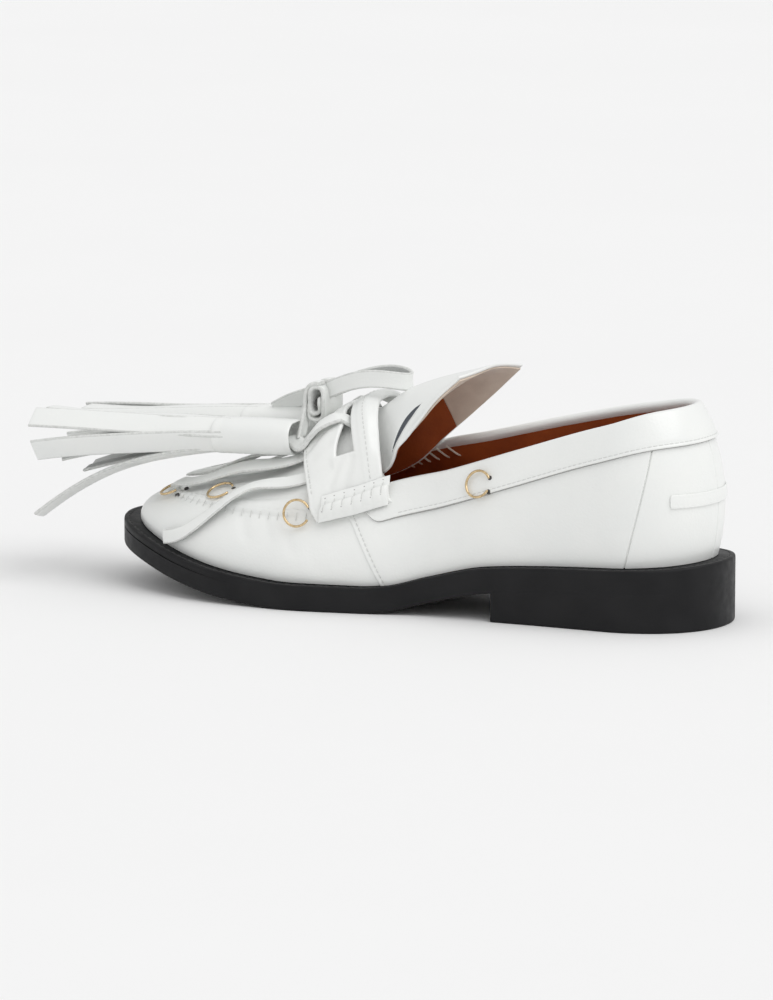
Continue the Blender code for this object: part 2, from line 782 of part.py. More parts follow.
def tassel_strip(name, side, index, helpers):
    start, forward, sideways, upward = cap_frame(side)
    turn = math.radians(STRIPS.raw("turn", index))
    inset = 0.8
    radial = sideways * math.cos(turn) * CAP_HALF_WIDTH + upward * math.sin(turn) * CAP_HALF_HEIGHT
    across = upward * math.cos(turn) * CAP_HALF_HEIGHT - sideways * math.sin(turn) * CAP_HALF_WIDTH
    across.normalize()
    root = start + forward * (CAP_LENGTH - STRIP_INSIDE) + radial * inset
    length = STRIPS.mm("length", index) + STRIP_INSIDE
    path, widths, ups = [], [], []
    for i in range(STRIP_STEPS + 1):
        share = i / STRIP_STEPS
        fan = radial.normalized() * STRIPS.mm("spread", index) * share
        drop = Vector((0, 0, -STRIPS.mm("droop", index) * TASSEL.raw("droop_share", side) * share**2.2))
        path.append(root + forward * length * share * (1 - 0.04 * share) + fan + drop)
    for i in range(STRIP_STEPS + 1):
        run = (path[min(i + 1, STRIP_STEPS)] - path[max(i - 1, 0)]).normalized()
        flat = (across - run * across.dot(run)).normalized()
        widths.append(flat * STRIPS.mm("width", index) / 2)
        ups.append(run.cross(flat).normalized())
    return strip_solid(name, path, widths, ups, STRIP_THICK, helpers)


def fringe_start(across, behind):
    """Share of the last's length at a place behind the strap's front edge."""
    return strap_edge(STRAP_FRONT, across / (2 - STRAP_END_RISE)) - behind


def fringe_place(index, share):
    """Side, along and rise on the skin under a fringe strip's middle line."""
    start, end = FRINGE.raw("across_start", index), FRINGE.raw("across_end", index)
    hold = FRINGE.raw("hold", index)
    turned = max(0.0, (share - hold) / (1 - hold))
    across = start + (end - start) * turned**2 * (3 - 2 * turned)
    first = fringe_start(start, FRINGE_INSIDE)
    along = first + (FRINGE.raw("along_end", index) - first) * share
    side = 1 if across >= 0 else -1
    return side, along, 2 - abs(across)


def build_fringe(finish, collection, helpers):
    """Strips that spread over the apron from a root under the strap's front edge."""
    rows = []
    steps = 14
    for behind in np.linspace(*FRINGE_ROOT, 4):
        row = []
        for j in range(steps + 1):
            across = FRINGE_HALF * (1 - 2 * j / steps)
            place = (1 if across >= 0 else -1, fringe_start(across, behind), 2 - abs(across))
            row.append((lifted(*place, FRINGE_CLEAR), skin_normal(*place)))
        rows.append(row)
    sections = [[p for p, _ in row] + [p + n * FRINGE_THICK for p, n in reversed(row)] for row in rows]
    root = new_object("kiltie_fringe", loft(sections), finish, collection)
    strips = []
    for index in FRINGE.keys:
        path, widths, ups = [], [], []
        for i in range(FRINGE_STEPS + 1):
            share = i / FRINGE_STEPS
            place = fringe_place(index, share)
            up = skin_normal(*place)
            hump = FRINGE.mm("lift", index) * math.sin(math.pi * min(0.8, share * 1.1)) ** 2
            lift = FRINGE_CLEAR + FRINGE_THICK * (0.5 + 0.5 * share) + hump
            path.append(skin_point(*place) + up * lift)
            ups.append(up)
        for i in range(1, FRINGE_STEPS):
            ups[i] = (ups[i - 1] + ups[i] + ups[i + 1]).normalized()
        for i in range(FRINGE_STEPS + 1):
            run = (path[min(i + 1, FRINGE_STEPS)] - path[max(i - 1, 0)]).normalized()
            flat = ups[i].cross(run).normalized()
            widths.append(flat * FRINGE.mm("width", index) / 2)
            ups[i] = run.cross(flat).normalized()
        strip = strip_solid(f"fringe_strip_{int(index)}", path, widths, ups, FRINGE_THICK * 0.8, helpers)
        strips.append(strip)
    fuse(root, strips)
    return root


def knot_middle():
    return Vector((SOLE_BACK + KNOT_PLACE[0], 0, KNOT_PLACE[1]))


def build_knot(finish, collection):
    """The tie's knot: a rounded lump of wrapped thong."""
    bm = bmesh.new()
    bmesh.ops.create_uvsphere(bm, u_segments=12, v_segments=8, radius=1.0)
    for vert in bm.verts:
        squared = [math.copysign(abs(c) ** KNOT_POWER, c) for c in vert.co]
        vert.co = knot_middle() + Vector([c * half for c, half in zip(squared, KNOT_HALF)])
    return new_object("tie_knot", bm, finish, collection)


def build_bow(finish, collection):
    """A standing loop of flat thong behind the knot."""
    path = []
    for i in range(BOW_STEPS):
        angle = 2 * math.pi * i / BOW_STEPS
        back = (1 - math.cos(angle)) / 2
        spread = math.sin(angle) * (0.25 + 0.75 * back**0.5)
        height = BOW_PLACE[1] + BOW_RISE * math.sin(2.2 * back)
        path.append(Vector((SOLE_BACK + BOW_PLACE[0] - BOW_LENGTH * back, BOW_HALF_WIDTH * spread, height)))
    sections = []
    for i, point in enumerate(path):
        run = path[(i + 1) % BOW_STEPS] - path[i - 1]
        side = run.cross(Vector((0, 0, 1))).normalized() * BOW_THICK / 2
        tall = Vector((0, 0, BOW_BAND / 2))
        sections.append([point - side - tall, point + side - tall, point + side + tall, point - side + tall])
    return new_object("bow_loop", loft(sections + sections[:1], caps=(False, False)), finish, collection)


def build_thong(name, side, finish, collection):
    """The flat thong that comes over the knot and down to a tassel's cap."""
    start, forward, _, _ = cap_frame(side)
    clear = GAP + THONG_THICK / 2
    path = []
    for i in range(THONG_STEPS):
        place = THONG.keys[-1] * i / (THONG_STEPS - 1)
        flat = Vector((THONG.raw("ahead", place), THONG.raw("above", place)))
        away = flat.normalized() * clear
        over = Vector((flat.x * KNOT_HALF[0] + away.x, side * THONG_APART, flat.y * KNOT_HALF[2] + away.y))
        path.append(knot_middle() + over)
    end = start - forward * clear
    for share in (0.4, 0.75, 1.0):
        path.append(path[THONG_STEPS - 1].lerp(end, share))
    sections = []
    last = len(path) - 1
    for i, point in enumerate(path):
        run = path[min(i + 1, last)] - path[max(i - 1, 0)]
        thick = Vector((-run.z, 0, run.x)).normalized() * THONG_THICK / 2
        width = Vector((0, THONG_WIDTH / 2, 0))
        low, high = point - thick, point + thick
        sections.append([low - width, low + width, high + width, high - width])
    return new_object(name, loft(sections), finish, collection)


def ring_frame(index):
    """Hinge middle, hinge direction, and the direction in which the ring lies, on the outer side."""
    along, rise = RINGS.raw("along", index), RINGS.raw("rise", index)
    normal = skin_normal(1, along, rise)
    hinge = lifted(1, along, rise, RING_LIFTS[index])
    upright = (skin_point(1, along, rise + 0.05) - skin_point(1, along, rise - 0.05)).normalized()
    upright = (upright - normal * upright.dot(normal)).normalized()
    lying = upright.cross(normal).normalized()
    if lying.x < 0:
        lying = -lying
    return hinge, upright, lying, normal


def tube(path, radius, sides):
    """A bmesh round bar along a path, with rounded ends."""
    sections = []
    last = len(path) - 1
    for i, point in enumerate(path):
        run = (path[min(i + 1, last)] - path[max(i - 1, 0)]).normalized()
        turn = run.to_track_quat("Z", "Y").to_matrix()
        size = 0.7 if i in (0, last) else 1.0
        circle = []
        for k in range(sides):
            angle = 2 * math.pi * k / sides
            circle.append(point + turn @ Vector((math.cos(angle), math.sin(angle), 0)) * radius * size)
        sections.append(circle)
    return loft(untwisted(sections))


def untwisted(sections):
    """Sections renumbered so that each starts nearest to the start of the one before."""
    done = [sections[0]]
    for section in sections[1:]:
        count = len(section)
        shift = min(range(count), key=lambda k: (section[k] - done[-1][0]).length)
        done.append([section[(shift + k) % count] for k in range(count)])
    return done


def build_ring(index, finish, collection):
    """A wire ring with its two ends on the hinge line, where they enter the leather."""
    hinge, upright, lying, _ = ring_frame(index)
    half_open = math.radians(RING_OPEN_DEG / 2)
    centre = hinge + lying * RING_RADIUS * math.cos(half_open)
    path = []
    for i in range(RING_STEPS + 1):
        angle = half_open + (2 * math.pi - 2 * half_open) * i / RING_STEPS
        path.append(centre - lying * math.cos(angle) * RING_RADIUS + upright * math.sin(angle) * RING_RADIUS)
    return new_object(RING_NAMES[index], tube(path, RING_WIRE, RING_SIDES), finish, collection)


def main():
    for obj in list(bpy.data.objects):
        bpy.data.objects.remove(obj)
    shoe = bpy.data.collections.new("tassel_loafer")
    cutters = bpy.data.collections.new("helpers")
    bpy.context.scene.collection.children.link(shoe)
    bpy.context.scene.collection.children.link(cutters)

    white = material("white_leather", (0.86, 0.87, 0.86), 0.3)
    black = material("black_rubber", (0.02, 0.02, 0.022), 0.45)
    tan = material("tan_lining", (0.33, 0.09, 0.03), 0.5)
    gold = material("gold_wire", (0.83, 0.58, 0.25), 0.25, 1.0)
    helpers = {"finish": white, "collection": cutters}

    build_outsole(black, shoe)
    build_welt(black, shoe)
    build_heel(black, shoe)
    build_insole(tan, shoe)
    build_upper(white, shoe)
    build_tongue(white, shoe)
    build_strap(white, shoe)
    build_roll("strap_roll_outer", 1, white, shoe)
    build_roll("strap_roll_inner", -1, white, shoe)
    build_collar_band(white, shoe)
    build_heel_strip(white, shoe)
    build_fringe(white, shoe, helpers)
    build_knot(white, shoe)
    build_bow(white, shoe)
    for name, side in (("outer", 1), ("inner", -1)):
        build_thong(f"tie_thong_{name}", side, white, shoe)
        build_tassel(f"tassel_{name}", side, white, shoe, helpers)
    for index in range(len(RING_NAMES)):
        build_ring(index, gold, shoe)


main()
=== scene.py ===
"""Tassel loafer, left shoe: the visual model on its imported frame. Metres, unless a name says mm."""

import math

import bmesh
import bpy
import numpy as np
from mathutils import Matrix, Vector


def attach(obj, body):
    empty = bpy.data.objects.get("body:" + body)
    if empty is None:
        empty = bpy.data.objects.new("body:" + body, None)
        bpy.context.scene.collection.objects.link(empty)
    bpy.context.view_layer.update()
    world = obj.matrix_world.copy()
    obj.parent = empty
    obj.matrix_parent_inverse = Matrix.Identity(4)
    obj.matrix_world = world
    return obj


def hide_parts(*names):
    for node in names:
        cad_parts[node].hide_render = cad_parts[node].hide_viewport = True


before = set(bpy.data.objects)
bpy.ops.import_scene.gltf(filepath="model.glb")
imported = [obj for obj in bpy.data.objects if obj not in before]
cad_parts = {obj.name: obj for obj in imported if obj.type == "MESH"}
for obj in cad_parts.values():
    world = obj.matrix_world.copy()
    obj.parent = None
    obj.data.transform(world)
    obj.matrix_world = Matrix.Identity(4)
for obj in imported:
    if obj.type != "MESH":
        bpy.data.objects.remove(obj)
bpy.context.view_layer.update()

MM = 0.001
PI = math.pi

# Main sizes and clearances, as in the frame
SOLE_LENGTH = 270 * MM
HEEL_LENGTH = 88 * MM
HEEL_REACH = 7.0 * MM
TOE_REACH = 7.5 * MM
LAST_LENGTH = SOLE_LENGTH - HEEL_REACH - TOE_REACH
SOLE_BACK = -HEEL_LENGTH / 2
LAST_BACK = SOLE_BACK + HEEL_REACH
BREAST = SOLE_BACK + HEEL_LENGTH
GAP = 0.3 * MM
OUTSOLE_THICK = 7.0 * MM
WELT_THICK = 3.2 * MM
WALL = 2.2 * MM
SOCK_THICK = 3.0 * MM
HEEL_ROUND, HEEL_POWER = 33 * MM, 2.15
TOE_ROUND, TOE_POWER = 66 * MM, 2.2


def eased(first, last, start, end, t):
    """A cubic from first to last that starts and ends with the given slopes."""
    rise = last - first
    return first + t * (start + t * (3 * rise - 2 * start - end + t * (start + end - 2 * rise)))


class Table:
    """Rows of named columns, read by a smooth curve that never swings past its rows. Lengths are in mm."""

    def __init__(self, names, rows):
        names = names.split()
        self.columns = dict(zip(names, np.array(rows, float).T))
        self.keys = self.columns[names[0]]

    def raw(self, name, key):
        keys, values = self.keys, self.columns[name]
        steps = np.diff(keys)
        rates = np.diff(values) / steps
        product = rates[:-1] * rates[1:]
        mean = np.where(product > 0, rates[:-1] + rates[1:], 1.0)
        slopes = np.concatenate([rates[:1], np.where(product > 0, 2 * product / mean, 0.0), rates[-1:]])
        key = np.clip(np.asarray(key, float), keys[0], keys[-1])
        i = np.clip(np.searchsorted(keys, key, side="right") - 1, 0, len(keys) - 2)
        t = (key - keys[i]) / steps[i]
        return eased(values[i], values[i + 1], slopes[i] * steps[i], slopes[i + 1] * steps[i], t)

    def mm(self, name, key):
        return self.raw(name, key) * MM


# The last's plan, the outsole's lower face, the wall and the apron, as in the frame
PLAN = Table(
    "along half_width centre reach",
    [
        (0.00, 31.0, 0.0, 7.0),
        (0.08, 31.0, 0.1, 5.2),
        (0.20, 30.5, 0.6, 4.4),
        (0.42, 29.5, 3.4, 3.4),
        (0.55, 36.0, 3.0, 3.8),
        (0.66, 41.4, 1.6, 4.6),
        (0.76, 42.2, -0.6, 5.0),
        (0.90, 40.4, -3.6, 6.0),
        (1.00, 39.0, -5.6, 7.5),
    ],
)
LIFT = Table(
    "along height",
    [
        (0.00, 16.4),
        (0.06, 15.2),
        (0.12, 14.5),
        (0.25, 12.9),
        (0.34, 11.0),
        (0.43, 5.4),
        (0.50, 0.7),
        (0.535, 0.0),
        (0.65, 0.0),
        (0.70, 0.9),
        (0.77, 3.2),
        (0.84, 6.8),
        (0.92, 12.4),
        (1.00, 17.4),
    ],
)
SIDE = Table(
    "along top inner_top lean low_flare high_flare high_share",
    [
        (0.00, 86.5, 86.5, 8.0, 5.2, 11.0, 0.72),
        (0.05, 85.2, 85.6, 7.0, 5.0, 10.0, 0.72),
        (0.15, 78.6, 82.0, 5.0, 4.4, 7.0, 0.72),
        (0.28, 67.8, 75.2, 5.5, 4.0, 6.0, 0.72),
        (0.40, 57.6, 67.8, 8.5, 4.0, 6.0, 0.72),
        (0.50, 50.0, 61.0, 11.0, 4.2, 6.0, 0.72),
        (0.56, 44.0, 55.0, 9.5, 4.2, 5.0, 0.72),
        (0.63, 39.0, 46.5, 8.5, 4.2, 4.5, 0.72),
        (0.72, 38.0, 40.5, 8.5, 4.0, 5.0, 0.75),
        (0.84, 39.0, 39.4, 10.0, 3.4, 7.0, 0.84),
        (1.00, 38.5, 38.5, 16.0, 2.6, 11.5, 0.96),
    ],
)
APRON = Table(
    "along crown",
    [
        (0.50, 25.0),
        (0.56, 30.0),
        (0.61, 30.0),
        (0.66, 21.8),
        (0.71, 15.6),
        (0.80, 8.6),
        (0.90, 4.0),
        (1.00, 0.5),
    ],
)
CROWN_POWER, CROWN_ROUND = 2.2, 0.8
RIDGE_HEIGHT, RIDGE_SHARE, RIDGE_START = 1.3 * MM, 0.09, (0.60, 0.65)
THROAT_SLANT = 0.095
TURN_STEP, NORMAL_STEP = 0.02, 0.03
TOE_RIDGE_SHARE = 0.14

# The apron's steps from its outer seam to its middle
APRON_HALF = Table(
    "step across",
    [(0, 1.0), (1, 0.96), (2, 0.9), (3, 0.75), (4, 0.55), (5, 0.3), (6, 0.0)],
)
FINE = 8
HALF_TURNS = 32 * FINE
THROAT_TURN = HALF_TURNS // 2
TOE_TURN = 26 * FINE

# The tongue, the strap and its rolls, the collar band and the heel strip
TONGUE = Table(
    "row edge_from_back outer_half inner_half edge_height mid_from_back mid_height skew",
    [
        (0, 160, 15.5, 15.5, 46.5, 175, 60.2, 0.0),
        (1, 150, 17.0, 16.0, 50.2, 163, 70.7, 0.0),
        (2, 141, 18.5, 16.3, 55.5, 150, 79.6, 0.0),
        (3, 133, 23.0, 18.5, 65.0, 137, 88.0, 1.0),
        (4, 122.5, 25.0, 22.0, 76.5, 122, 93.5, 2.5),
        (5, 113, 24.5, 23.0, 87.3, 110, 96.8, 4.0),
        (6, 103, 22.0, 21.5, 97.0, 102.5, 99.0, 4.2),
    ],
)
TONGUE_CENTRE = 2.6 * MM
TONGUE_THICK, TONGUE_LINING_THICK, TONGUE_LINING_DROP = 1.3 * MM, 0.8 * MM, 2.05 * MM
TONGUE_NUDE_ROW, TONGUE_LINING_END = 3.4, 5.9
# The fold beside the tongue's outer edge, by its row
FOLD = Table(
    "row across half",
    [(2.55, 0.93, 0.004), (2.9, 0.865, 0.045), (3.25, 0.786, 0.08), (3.5, 0.73, 0.065), (3.74, 0.675, 0.004)],
)
FOLD_DEPTH = 0.7 * MM
STRAP_THICK = 2.0 * MM
STRAP_LIFT_MIDDLE, STRAP_LIFT_END = 3.6 * MM, 0.4 * MM
STRAP_BACK, STRAP_FRONT = (0.5535, 0.4905), (0.676, 0.612)
STRAP_END_RISE = 0.80
SLOT_ROWS = (0.33, 0.42)
SLOT_WEDGE, WEDGE_START = 0.14, 0.3
SLOT_END = 0.62
# Soft creases of the strap: row and across of both ends, width and depth in millimetres
STRAP_CREASES = (
    (0.50, 0.30, 0.97, 0.52, 1.6, 0.85),
    (0.58, 0.50, 0.92, 0.60, 1.3, 0.60),
    (0.60, 0.66, 0.96, 0.72, 1.8, 0.75),
    (0.34, 0.63, 0.52, 0.82, 1.5, 0.75),
    (0.45, 0.62, 0.72, 0.80, 1.3, 0.50),
    (0.48, -0.40, 0.97, -0.56, 1.7, 0.75),
    (0.36, -0.63, 0.60, -0.80, 1.6, 0.60),
)
STRAP_WIDTH, STRAP_HALF_LENGTH = 31 * MM, 48 * MM
ROLL_HEIGHT = 3.0 * MM
ROLL_RISES, ROLL_INSET = (0.77, 1.04), 0.04
ROLL_STITCHES = 7
STITCH_SHARES = (np.arange(ROLL_STITCHES) + 0.6) / (ROLL_STITCHES + 0.2)
BAND_THICK, BAND_DEPTH, BAND_STITCH_LINE = 1.2 * MM, 14 * MM, 1.6 * MM
HEEL_STRIP_HEIGHTS = (49.5 * MM, 55 * MM)
# Where the heel strip ends along the shoe, and the wall's length for one radian at the heel
HEEL_STRIP_END, HEEL_RADIAN = 0.037, 80 * MM

# Tassels and fringe
CAP_LENGTH, CAP_HALF_WIDTH, CAP_HALF_HEIGHT = 35 * MM, 10.5 * MM, 7.8 * MM
STRIP_THICK, STRIP_INSIDE = 1.3 * MM, 6 * MM
TASSEL = Table(
    "side from_back offset height tail_rise yaw droop_share",
    [
        (-1, 185.5, 13.5, 68.5, -3.0, 2.0, 0.3),
        (1, 184.2, 14.0, 65.6, -1.0, 1.0, 1.0),
    ],
)
STRIPS = Table(
    "strip turn length width spread droop",
    [
        (0, 92, 82, 10.0, 1.0, -1.0),
        (1, 38, 86, 10.5, 3.5, 0.0),
        (2, -18, 84, 10.0, 5.0, 5.0),
        (3, -62, 85, 7.0, 5.0, 26.0),
        (4, -112, 68, 7.0, 3.0, 9.0),
        (5, 196, 84, 9.0, 5.0, 9.0),
        (6, 145, 86, 10.0, 2.0, 1.0),
    ],
)
FRINGE_THICK, FRINGE_CLEAR = 1.1 * MM, 0.9 * MM
FRINGE = Table(
    "strip across_start across_end along_end width lift hold",
    [
        (0, -0.70, -1.28, 0.87, 6.0, 3.5, 0.0),
        (1, -0.46, -0.70, 0.92, 6.5, 4.2, 0.0),
        (2, -0.18, -0.26, 0.93, 6.5, 5.6, 0.0),
        (3, 0.16, 0.24, 0.94, 6.5, 5.8, 0.0),
        (4, 0.48, 0.84, 0.945, 8.0, 4.6, 0.38),
        (5, 0.80, 1.80, 0.889, 6.0, 2.2, 0.40),
    ],
)
FRINGE_ROOT = (0.021, 0.001)
FRINGE_INSIDE = 0.016
FRINGE_HALF = 0.88
FRINGE_TWIST = 0.22

# Tie
KNOT_MIDDLE = np.array([SOLE_BACK + 179.2 * MM, 0.0, 78.8 * MM])
KNOT_HALF = (4.0 * MM, 8.5 * MM, 7.2 * MM)
BOW_FRONT, BOW_HEIGHT, BOW_RISE = SOLE_BACK + 177.2 * MM, 83.4 * MM, 7.5 * MM
BOW_LENGTH, BOW_HALF_WIDTH, BOW_BAND, BOW_THICK = 37 * MM, 10 * MM, 7.5 * MM, 1.5 * MM
THONG_WIDTH, THONG_THICK, THONG_APART = 7.0 * MM, 1.8 * MM, 5.0 * MM
THONG = Table(
    "place ahead above",
    [(0, -0.25, 1.00), (1, 0.30, 0.97), (2, 0.74, 0.78), (3, 0.97, 0.35), (4, 1.02, -0.20)],
)
# The thong's way out of the strap's slot and forward to the cap, by its row on the strap
THROUGH = Table(
    "row across lift",
    [
        (0.36, 0.30, -2.0),
        (0.44, 0.31, 2.4),
        (0.53, 0.33, 3.9),
        (0.68, 0.35, 4.1),
        (0.85, 0.37, 3.6),
        (1.00, 0.38, 3.4),
    ],
)
# The inner thong's slope from the knot to its cap: from the sole's back, across and up, in millimetres
SLOPE = ((181, -3, 82.0), (190, -6, 79.6), (200, -9, 76.2), (208, -11, 72.5))

# Rings
RING_RADIUS, RING_WIRE, RING_OPEN_DEG = 5.4 * MM, 0.52 * MM, 62
RINGS = Table(
    "ring along rise lift",
    [(0, 0.325, 0.75, 2.6), (1, 0.629, 0.94, 3.0), (2, 0.800, 1.20, 1.2), (3, 0.930, 1.00, 1.6)],
)
RING_PIECES = (
    ("ring_collar", "collar_ring"),
    ("ring_saddle", "saddle_ring"),
    ("ring_apron_side", "shoe"),
    ("ring_apron_toe", "shoe"),
)

# The panel seams: how far the wall's columns lean as they climb, and the seams' columns, in radians
SHEAR = Table(
    "turn shift",
    [(0.0, 0.0), (0.22, -0.06), (0.55, -0.165), (1.05, 0.0), (1.643, 0.121), (2.3, 0.03), (PI, 0.0)],
)
BACK_SEAM, COUNTER_SEAM = 0.0, 0.55
SHEAR_TOP = 0.85
# The side seam's column, the wall's length for one radian there, and how far back the seam is stitched
SIDE_SEAM, SIDE_RADIAN, SIDE_STITCH_LINE = 1.643, 127 * MM, 2.1 * MM
# Closed seams of the wall: column, then in millimetres the swell and its reach, the groove's depth and width
CLOSED_SEAMS = ((COUNTER_SEAM, 0.28, 5.0, 0.9, 0.32), (BACK_SEAM, 0.15, 4.0, 0.5, 0.45))
# The apron seam's gathers: where they start along the shoe and how fast they come in, their spacing, and
# how far down the wall their stitches start, as a share of its rise
SEAM_START, SEAM_FADE = 0.6, 0.05
PUCKER = 4.2 * MM
PUCKER_FOOT = 2.6 / 18
# Soft creases of the wall: along, width, lowest and highest rise, depth in millimetres
CREASES = (
    (0.655, 0.010, 0.30, 0.98, 0.5),
    (0.690, 0.008, 0.45, 1.00, 0.4),
    (0.735, 0.011, 0.40, 1.00, 0.5),
    (0.62, 0.016, 0.05, 0.60, 0.25),
    (0.40, 0.030, 0.10, 0.70, 0.35),
    (0.30, 0.022, 0.15, 0.65, 0.25),
)

# Sections in millimetres. Outsole and welt: out, up. Heel: out, share of the height under the sole, up
OUTSOLE_PROFILE = (
    *((-6, 0), (-0.7, 0), (-0.3, 0.08), (0.0, 0.3)),
    *((0.1, 0.8), (0.1, 3.5), (0.1, 6.98), (-6, 7.0)),
)
WELT_PROFILE = (
    *((-0.5, -0.4), (0.1, -0.38), (0.1, -0.15), (0.1, 0.0), (0.1, 0.2), (0.1, 0.35), (0.1, 0.6), (0.1, 1.5)),
    *((0.08, 2.0), (0.0, 2.5), (-0.35, 2.95), (-1.0, 3.15), (-1.7, 3.18), (-1.95, 2.95), (-2.2, 2.95)),
    (-2.45, 3.18),
)
HEEL_PROFILE = (
    *((-5, 0, 0), (-0.8, 0, 0), (-0.3, 0, 0.1), (0.0, 0, 0.4), (0.08, 0, 1.0), (0.1, 0, 3.0), (0.1, 0, 5.7)),
    *((0.1, 0.7, 0), (0.1, 1, 1.15), (-0.2, 1, 1.16), (-5, 1, 1.16)),
)
# A tassel's cap: share of its length and of its half-sizes, from its back face to the inside of its mouth
CAP_PROFILE = (
    *((0.18, 0.02), (0.17, 0.6), (0.15, 0.74), (0.08, 0.80), (0.015, 0.835), (0.0, 0.87), (0.0, 0.92)),
    *((0.012, 0.95), (0.05, 0.96), (0.09, 0.97), (0.2, 0.985), (0.35, 0.99), (0.5, 0.99), (0.7, 0.99)),
    *((0.86, 0.99), (0.885, 0.975), (0.91, 0.99), (0.97, 0.99), (0.99, 0.98), (1.0, 0.95), (0.995, 0.90)),
    *((0.9, 0.87), (0.85, 0.02)),
)
# In millimetres: the lining's cove over the sock (inward, up) and the collar band's hem inside (down, out)
LINING_COVE = ((4.0, 0.0), (2.2, 0.35), (1.0, 0.7), (0.4, 1.2))
BAND_HEM = ((1.2, 0.0), (1.7, 0.2), (1.8, 0.9))
# A tube's rounded end and a pierced hole's dome, in shares of the radius: ahead and across, across and up
TUBE_END = ((0.5, 0.87), (0.87, 0.5), (1.0, 0.0))
PIT_DOME = ((1.0, -0.9), (1.0, -0.1), (0.75, 0.12), (0.02, 0.16))
# Points closer than this are joined, edges shorter than this go, and creases over this angle stay sharp
WELD_DISTANCE, SMALLEST_EDGE, SHARP_ANGLE = 2e-6, 1e-7, math.radians(50)

# The welt's groove for its stitches (out, up), and where the stitches inside the lining lie along the shoe
WELT_GROOVE = (-2.07 * MM, 2.95 * MM)
LINING_STITCHES = np.linspace(0.468, 0.558, 6)
# Stitches: length, spacing, the thread's radius and how far it stands proud
WELT_STITCH = (2.6 * MM, 3.4 * MM, 0.3 * MM, 0.15 * MM)
SEAM_STITCH = (1.7 * MM, 2.4 * MM, 0.2 * MM, 0.1 * MM)
COLLAR_STITCH = (2.0 * MM, 2.3 * MM, 0.17 * MM, 0.06 * MM)
TAB_STITCH = (1.5 * MM, 2.1 * MM, 0.14 * MM, 0.06 * MM)

# Camera, light and floor
VIEW_AZIMUTH, VIEW_ELEVATION = 205.7, 9.3
VIEW_DISTANCE = 2.5
VIEW_HEIGHT = 0.4075
VIEW_MIDDLE, VIEW_LEFT, VIEW_UP = (0.091, 0.0, 0.035), 0.0143, 0.0059
SKY_STRENGTH = 0.75
SUN_STRENGTH, SUN_WIDTH_DEG, SUN_TURN_DEG, SUN_ELEVATION = 1.05, 50, 52, 55
FLOOR_HALF = 30


# Small helpers
def floats(*values):
    """Arrays of one shape from numbers and arrays."""
    return np.broadcast_arrays(*(np.asarray(value, float) for value in values))


def vec(x, y, z):
    return np.stack(np.broadcast_arrays(x, y, z), -1).astype(float)


def unit(v):
    return v / np.maximum(np.linalg.norm(v, axis=-1, keepdims=True), 1e-12)


def dot(a, b):
    return np.sum(a * b, axis=-1, keepdims=True)


def heading(path):
    """The direction of a path at each of its points."""
    return unit(np.gradient(path, axis=0))


def relaxed(path, times):
    """A path with its points drawn towards their neighbours, a few times over."""
    for _ in range(times):
        path[1:-1] = (path[:-2] + 2 * path[1:-1] + path[2:]) / 4
    return path


def run_along(line):
    """The way along a line of points, from 0 at its start."""
    return np.concatenate([[0], np.cumsum(np.linalg.norm(np.diff(line, axis=0), axis=-1))])


def between(first, second, steps):
    """A grid of points from one line to another."""
    return first[:, None] * (1 - steps)[None, :, None] + second[:, None] * steps[None, :, None]


def side_of(across):
    """1 on the outer side of the shoe, -1 on its inner side."""
    return np.where(across >= 0, 1.0, -1.0)


def smooth(x):
    x = np.clip(x, 0.0, 1.0)
    return x * x * (3 - 2 * x)


def bump(x, width):
    return np.exp(-((x / width) ** 2))


# The last's skin
def along_of(turn):
    return (1 - np.cos(turn)) / 2


def turn_of(side, along):
    turn = np.arccos(1 - 2 * np.clip(along, 0.0, 1.0))
    return np.where(np.asarray(side) > 0, turn, 2 * PI - turn)


def round_end(distance, radius, power):
    inside = np.maximum(0.0, 1 - distance / radius)
    return (1 - inside**power) ** (1 / power)


def feather(turn):
    """The last's bottom edge in plan."""
    turn = np.asarray(turn, float)
    along = along_of(turn)
    side = np.where(np.mod(turn, 2 * PI) < PI, 1.0, -1.0)
    half = PLAN.mm("half_width", along)
    half = half * round_end(along * LAST_LENGTH, HEEL_ROUND, HEEL_POWER)
    half = half * round_end((1 - along) * LAST_LENGTH, TOE_ROUND, TOE_POWER)
    return vec(LAST_BACK + along * LAST_LENGTH, PLAN.mm("centre", along) + side * half, 0.0)


def outward(turn):
    run = feather(turn + TURN_STEP) - feather(turn - TURN_STEP)
    return unit(vec(-run[..., 1], run[..., 0], 0.0))


def outline(turn, extra=0.0):
    """The sole's edge in plan, moved out by extra."""
    reach = PLAN.mm("reach", along_of(turn)) + extra
    return feather(turn) + outward(turn) * np.asarray(reach)[..., None]


def sole_low(x):
    return LIFT.mm("height", (x - SOLE_BACK) / SOLE_LENGTH)


def welt_top(x):
    return sole_low(x) + OUTSOLE_THICK + GAP + WELT_THICK


def seam_ridge(along, share):
    start = np.clip((along - RIDGE_START[0]) / (RIDGE_START[1] - RIDGE_START[0]), 0.0, 1.0)
    return RIDGE_HEIGHT * start * np.maximum(0.0, 1 - (share / RIDGE_SHARE) ** 2)


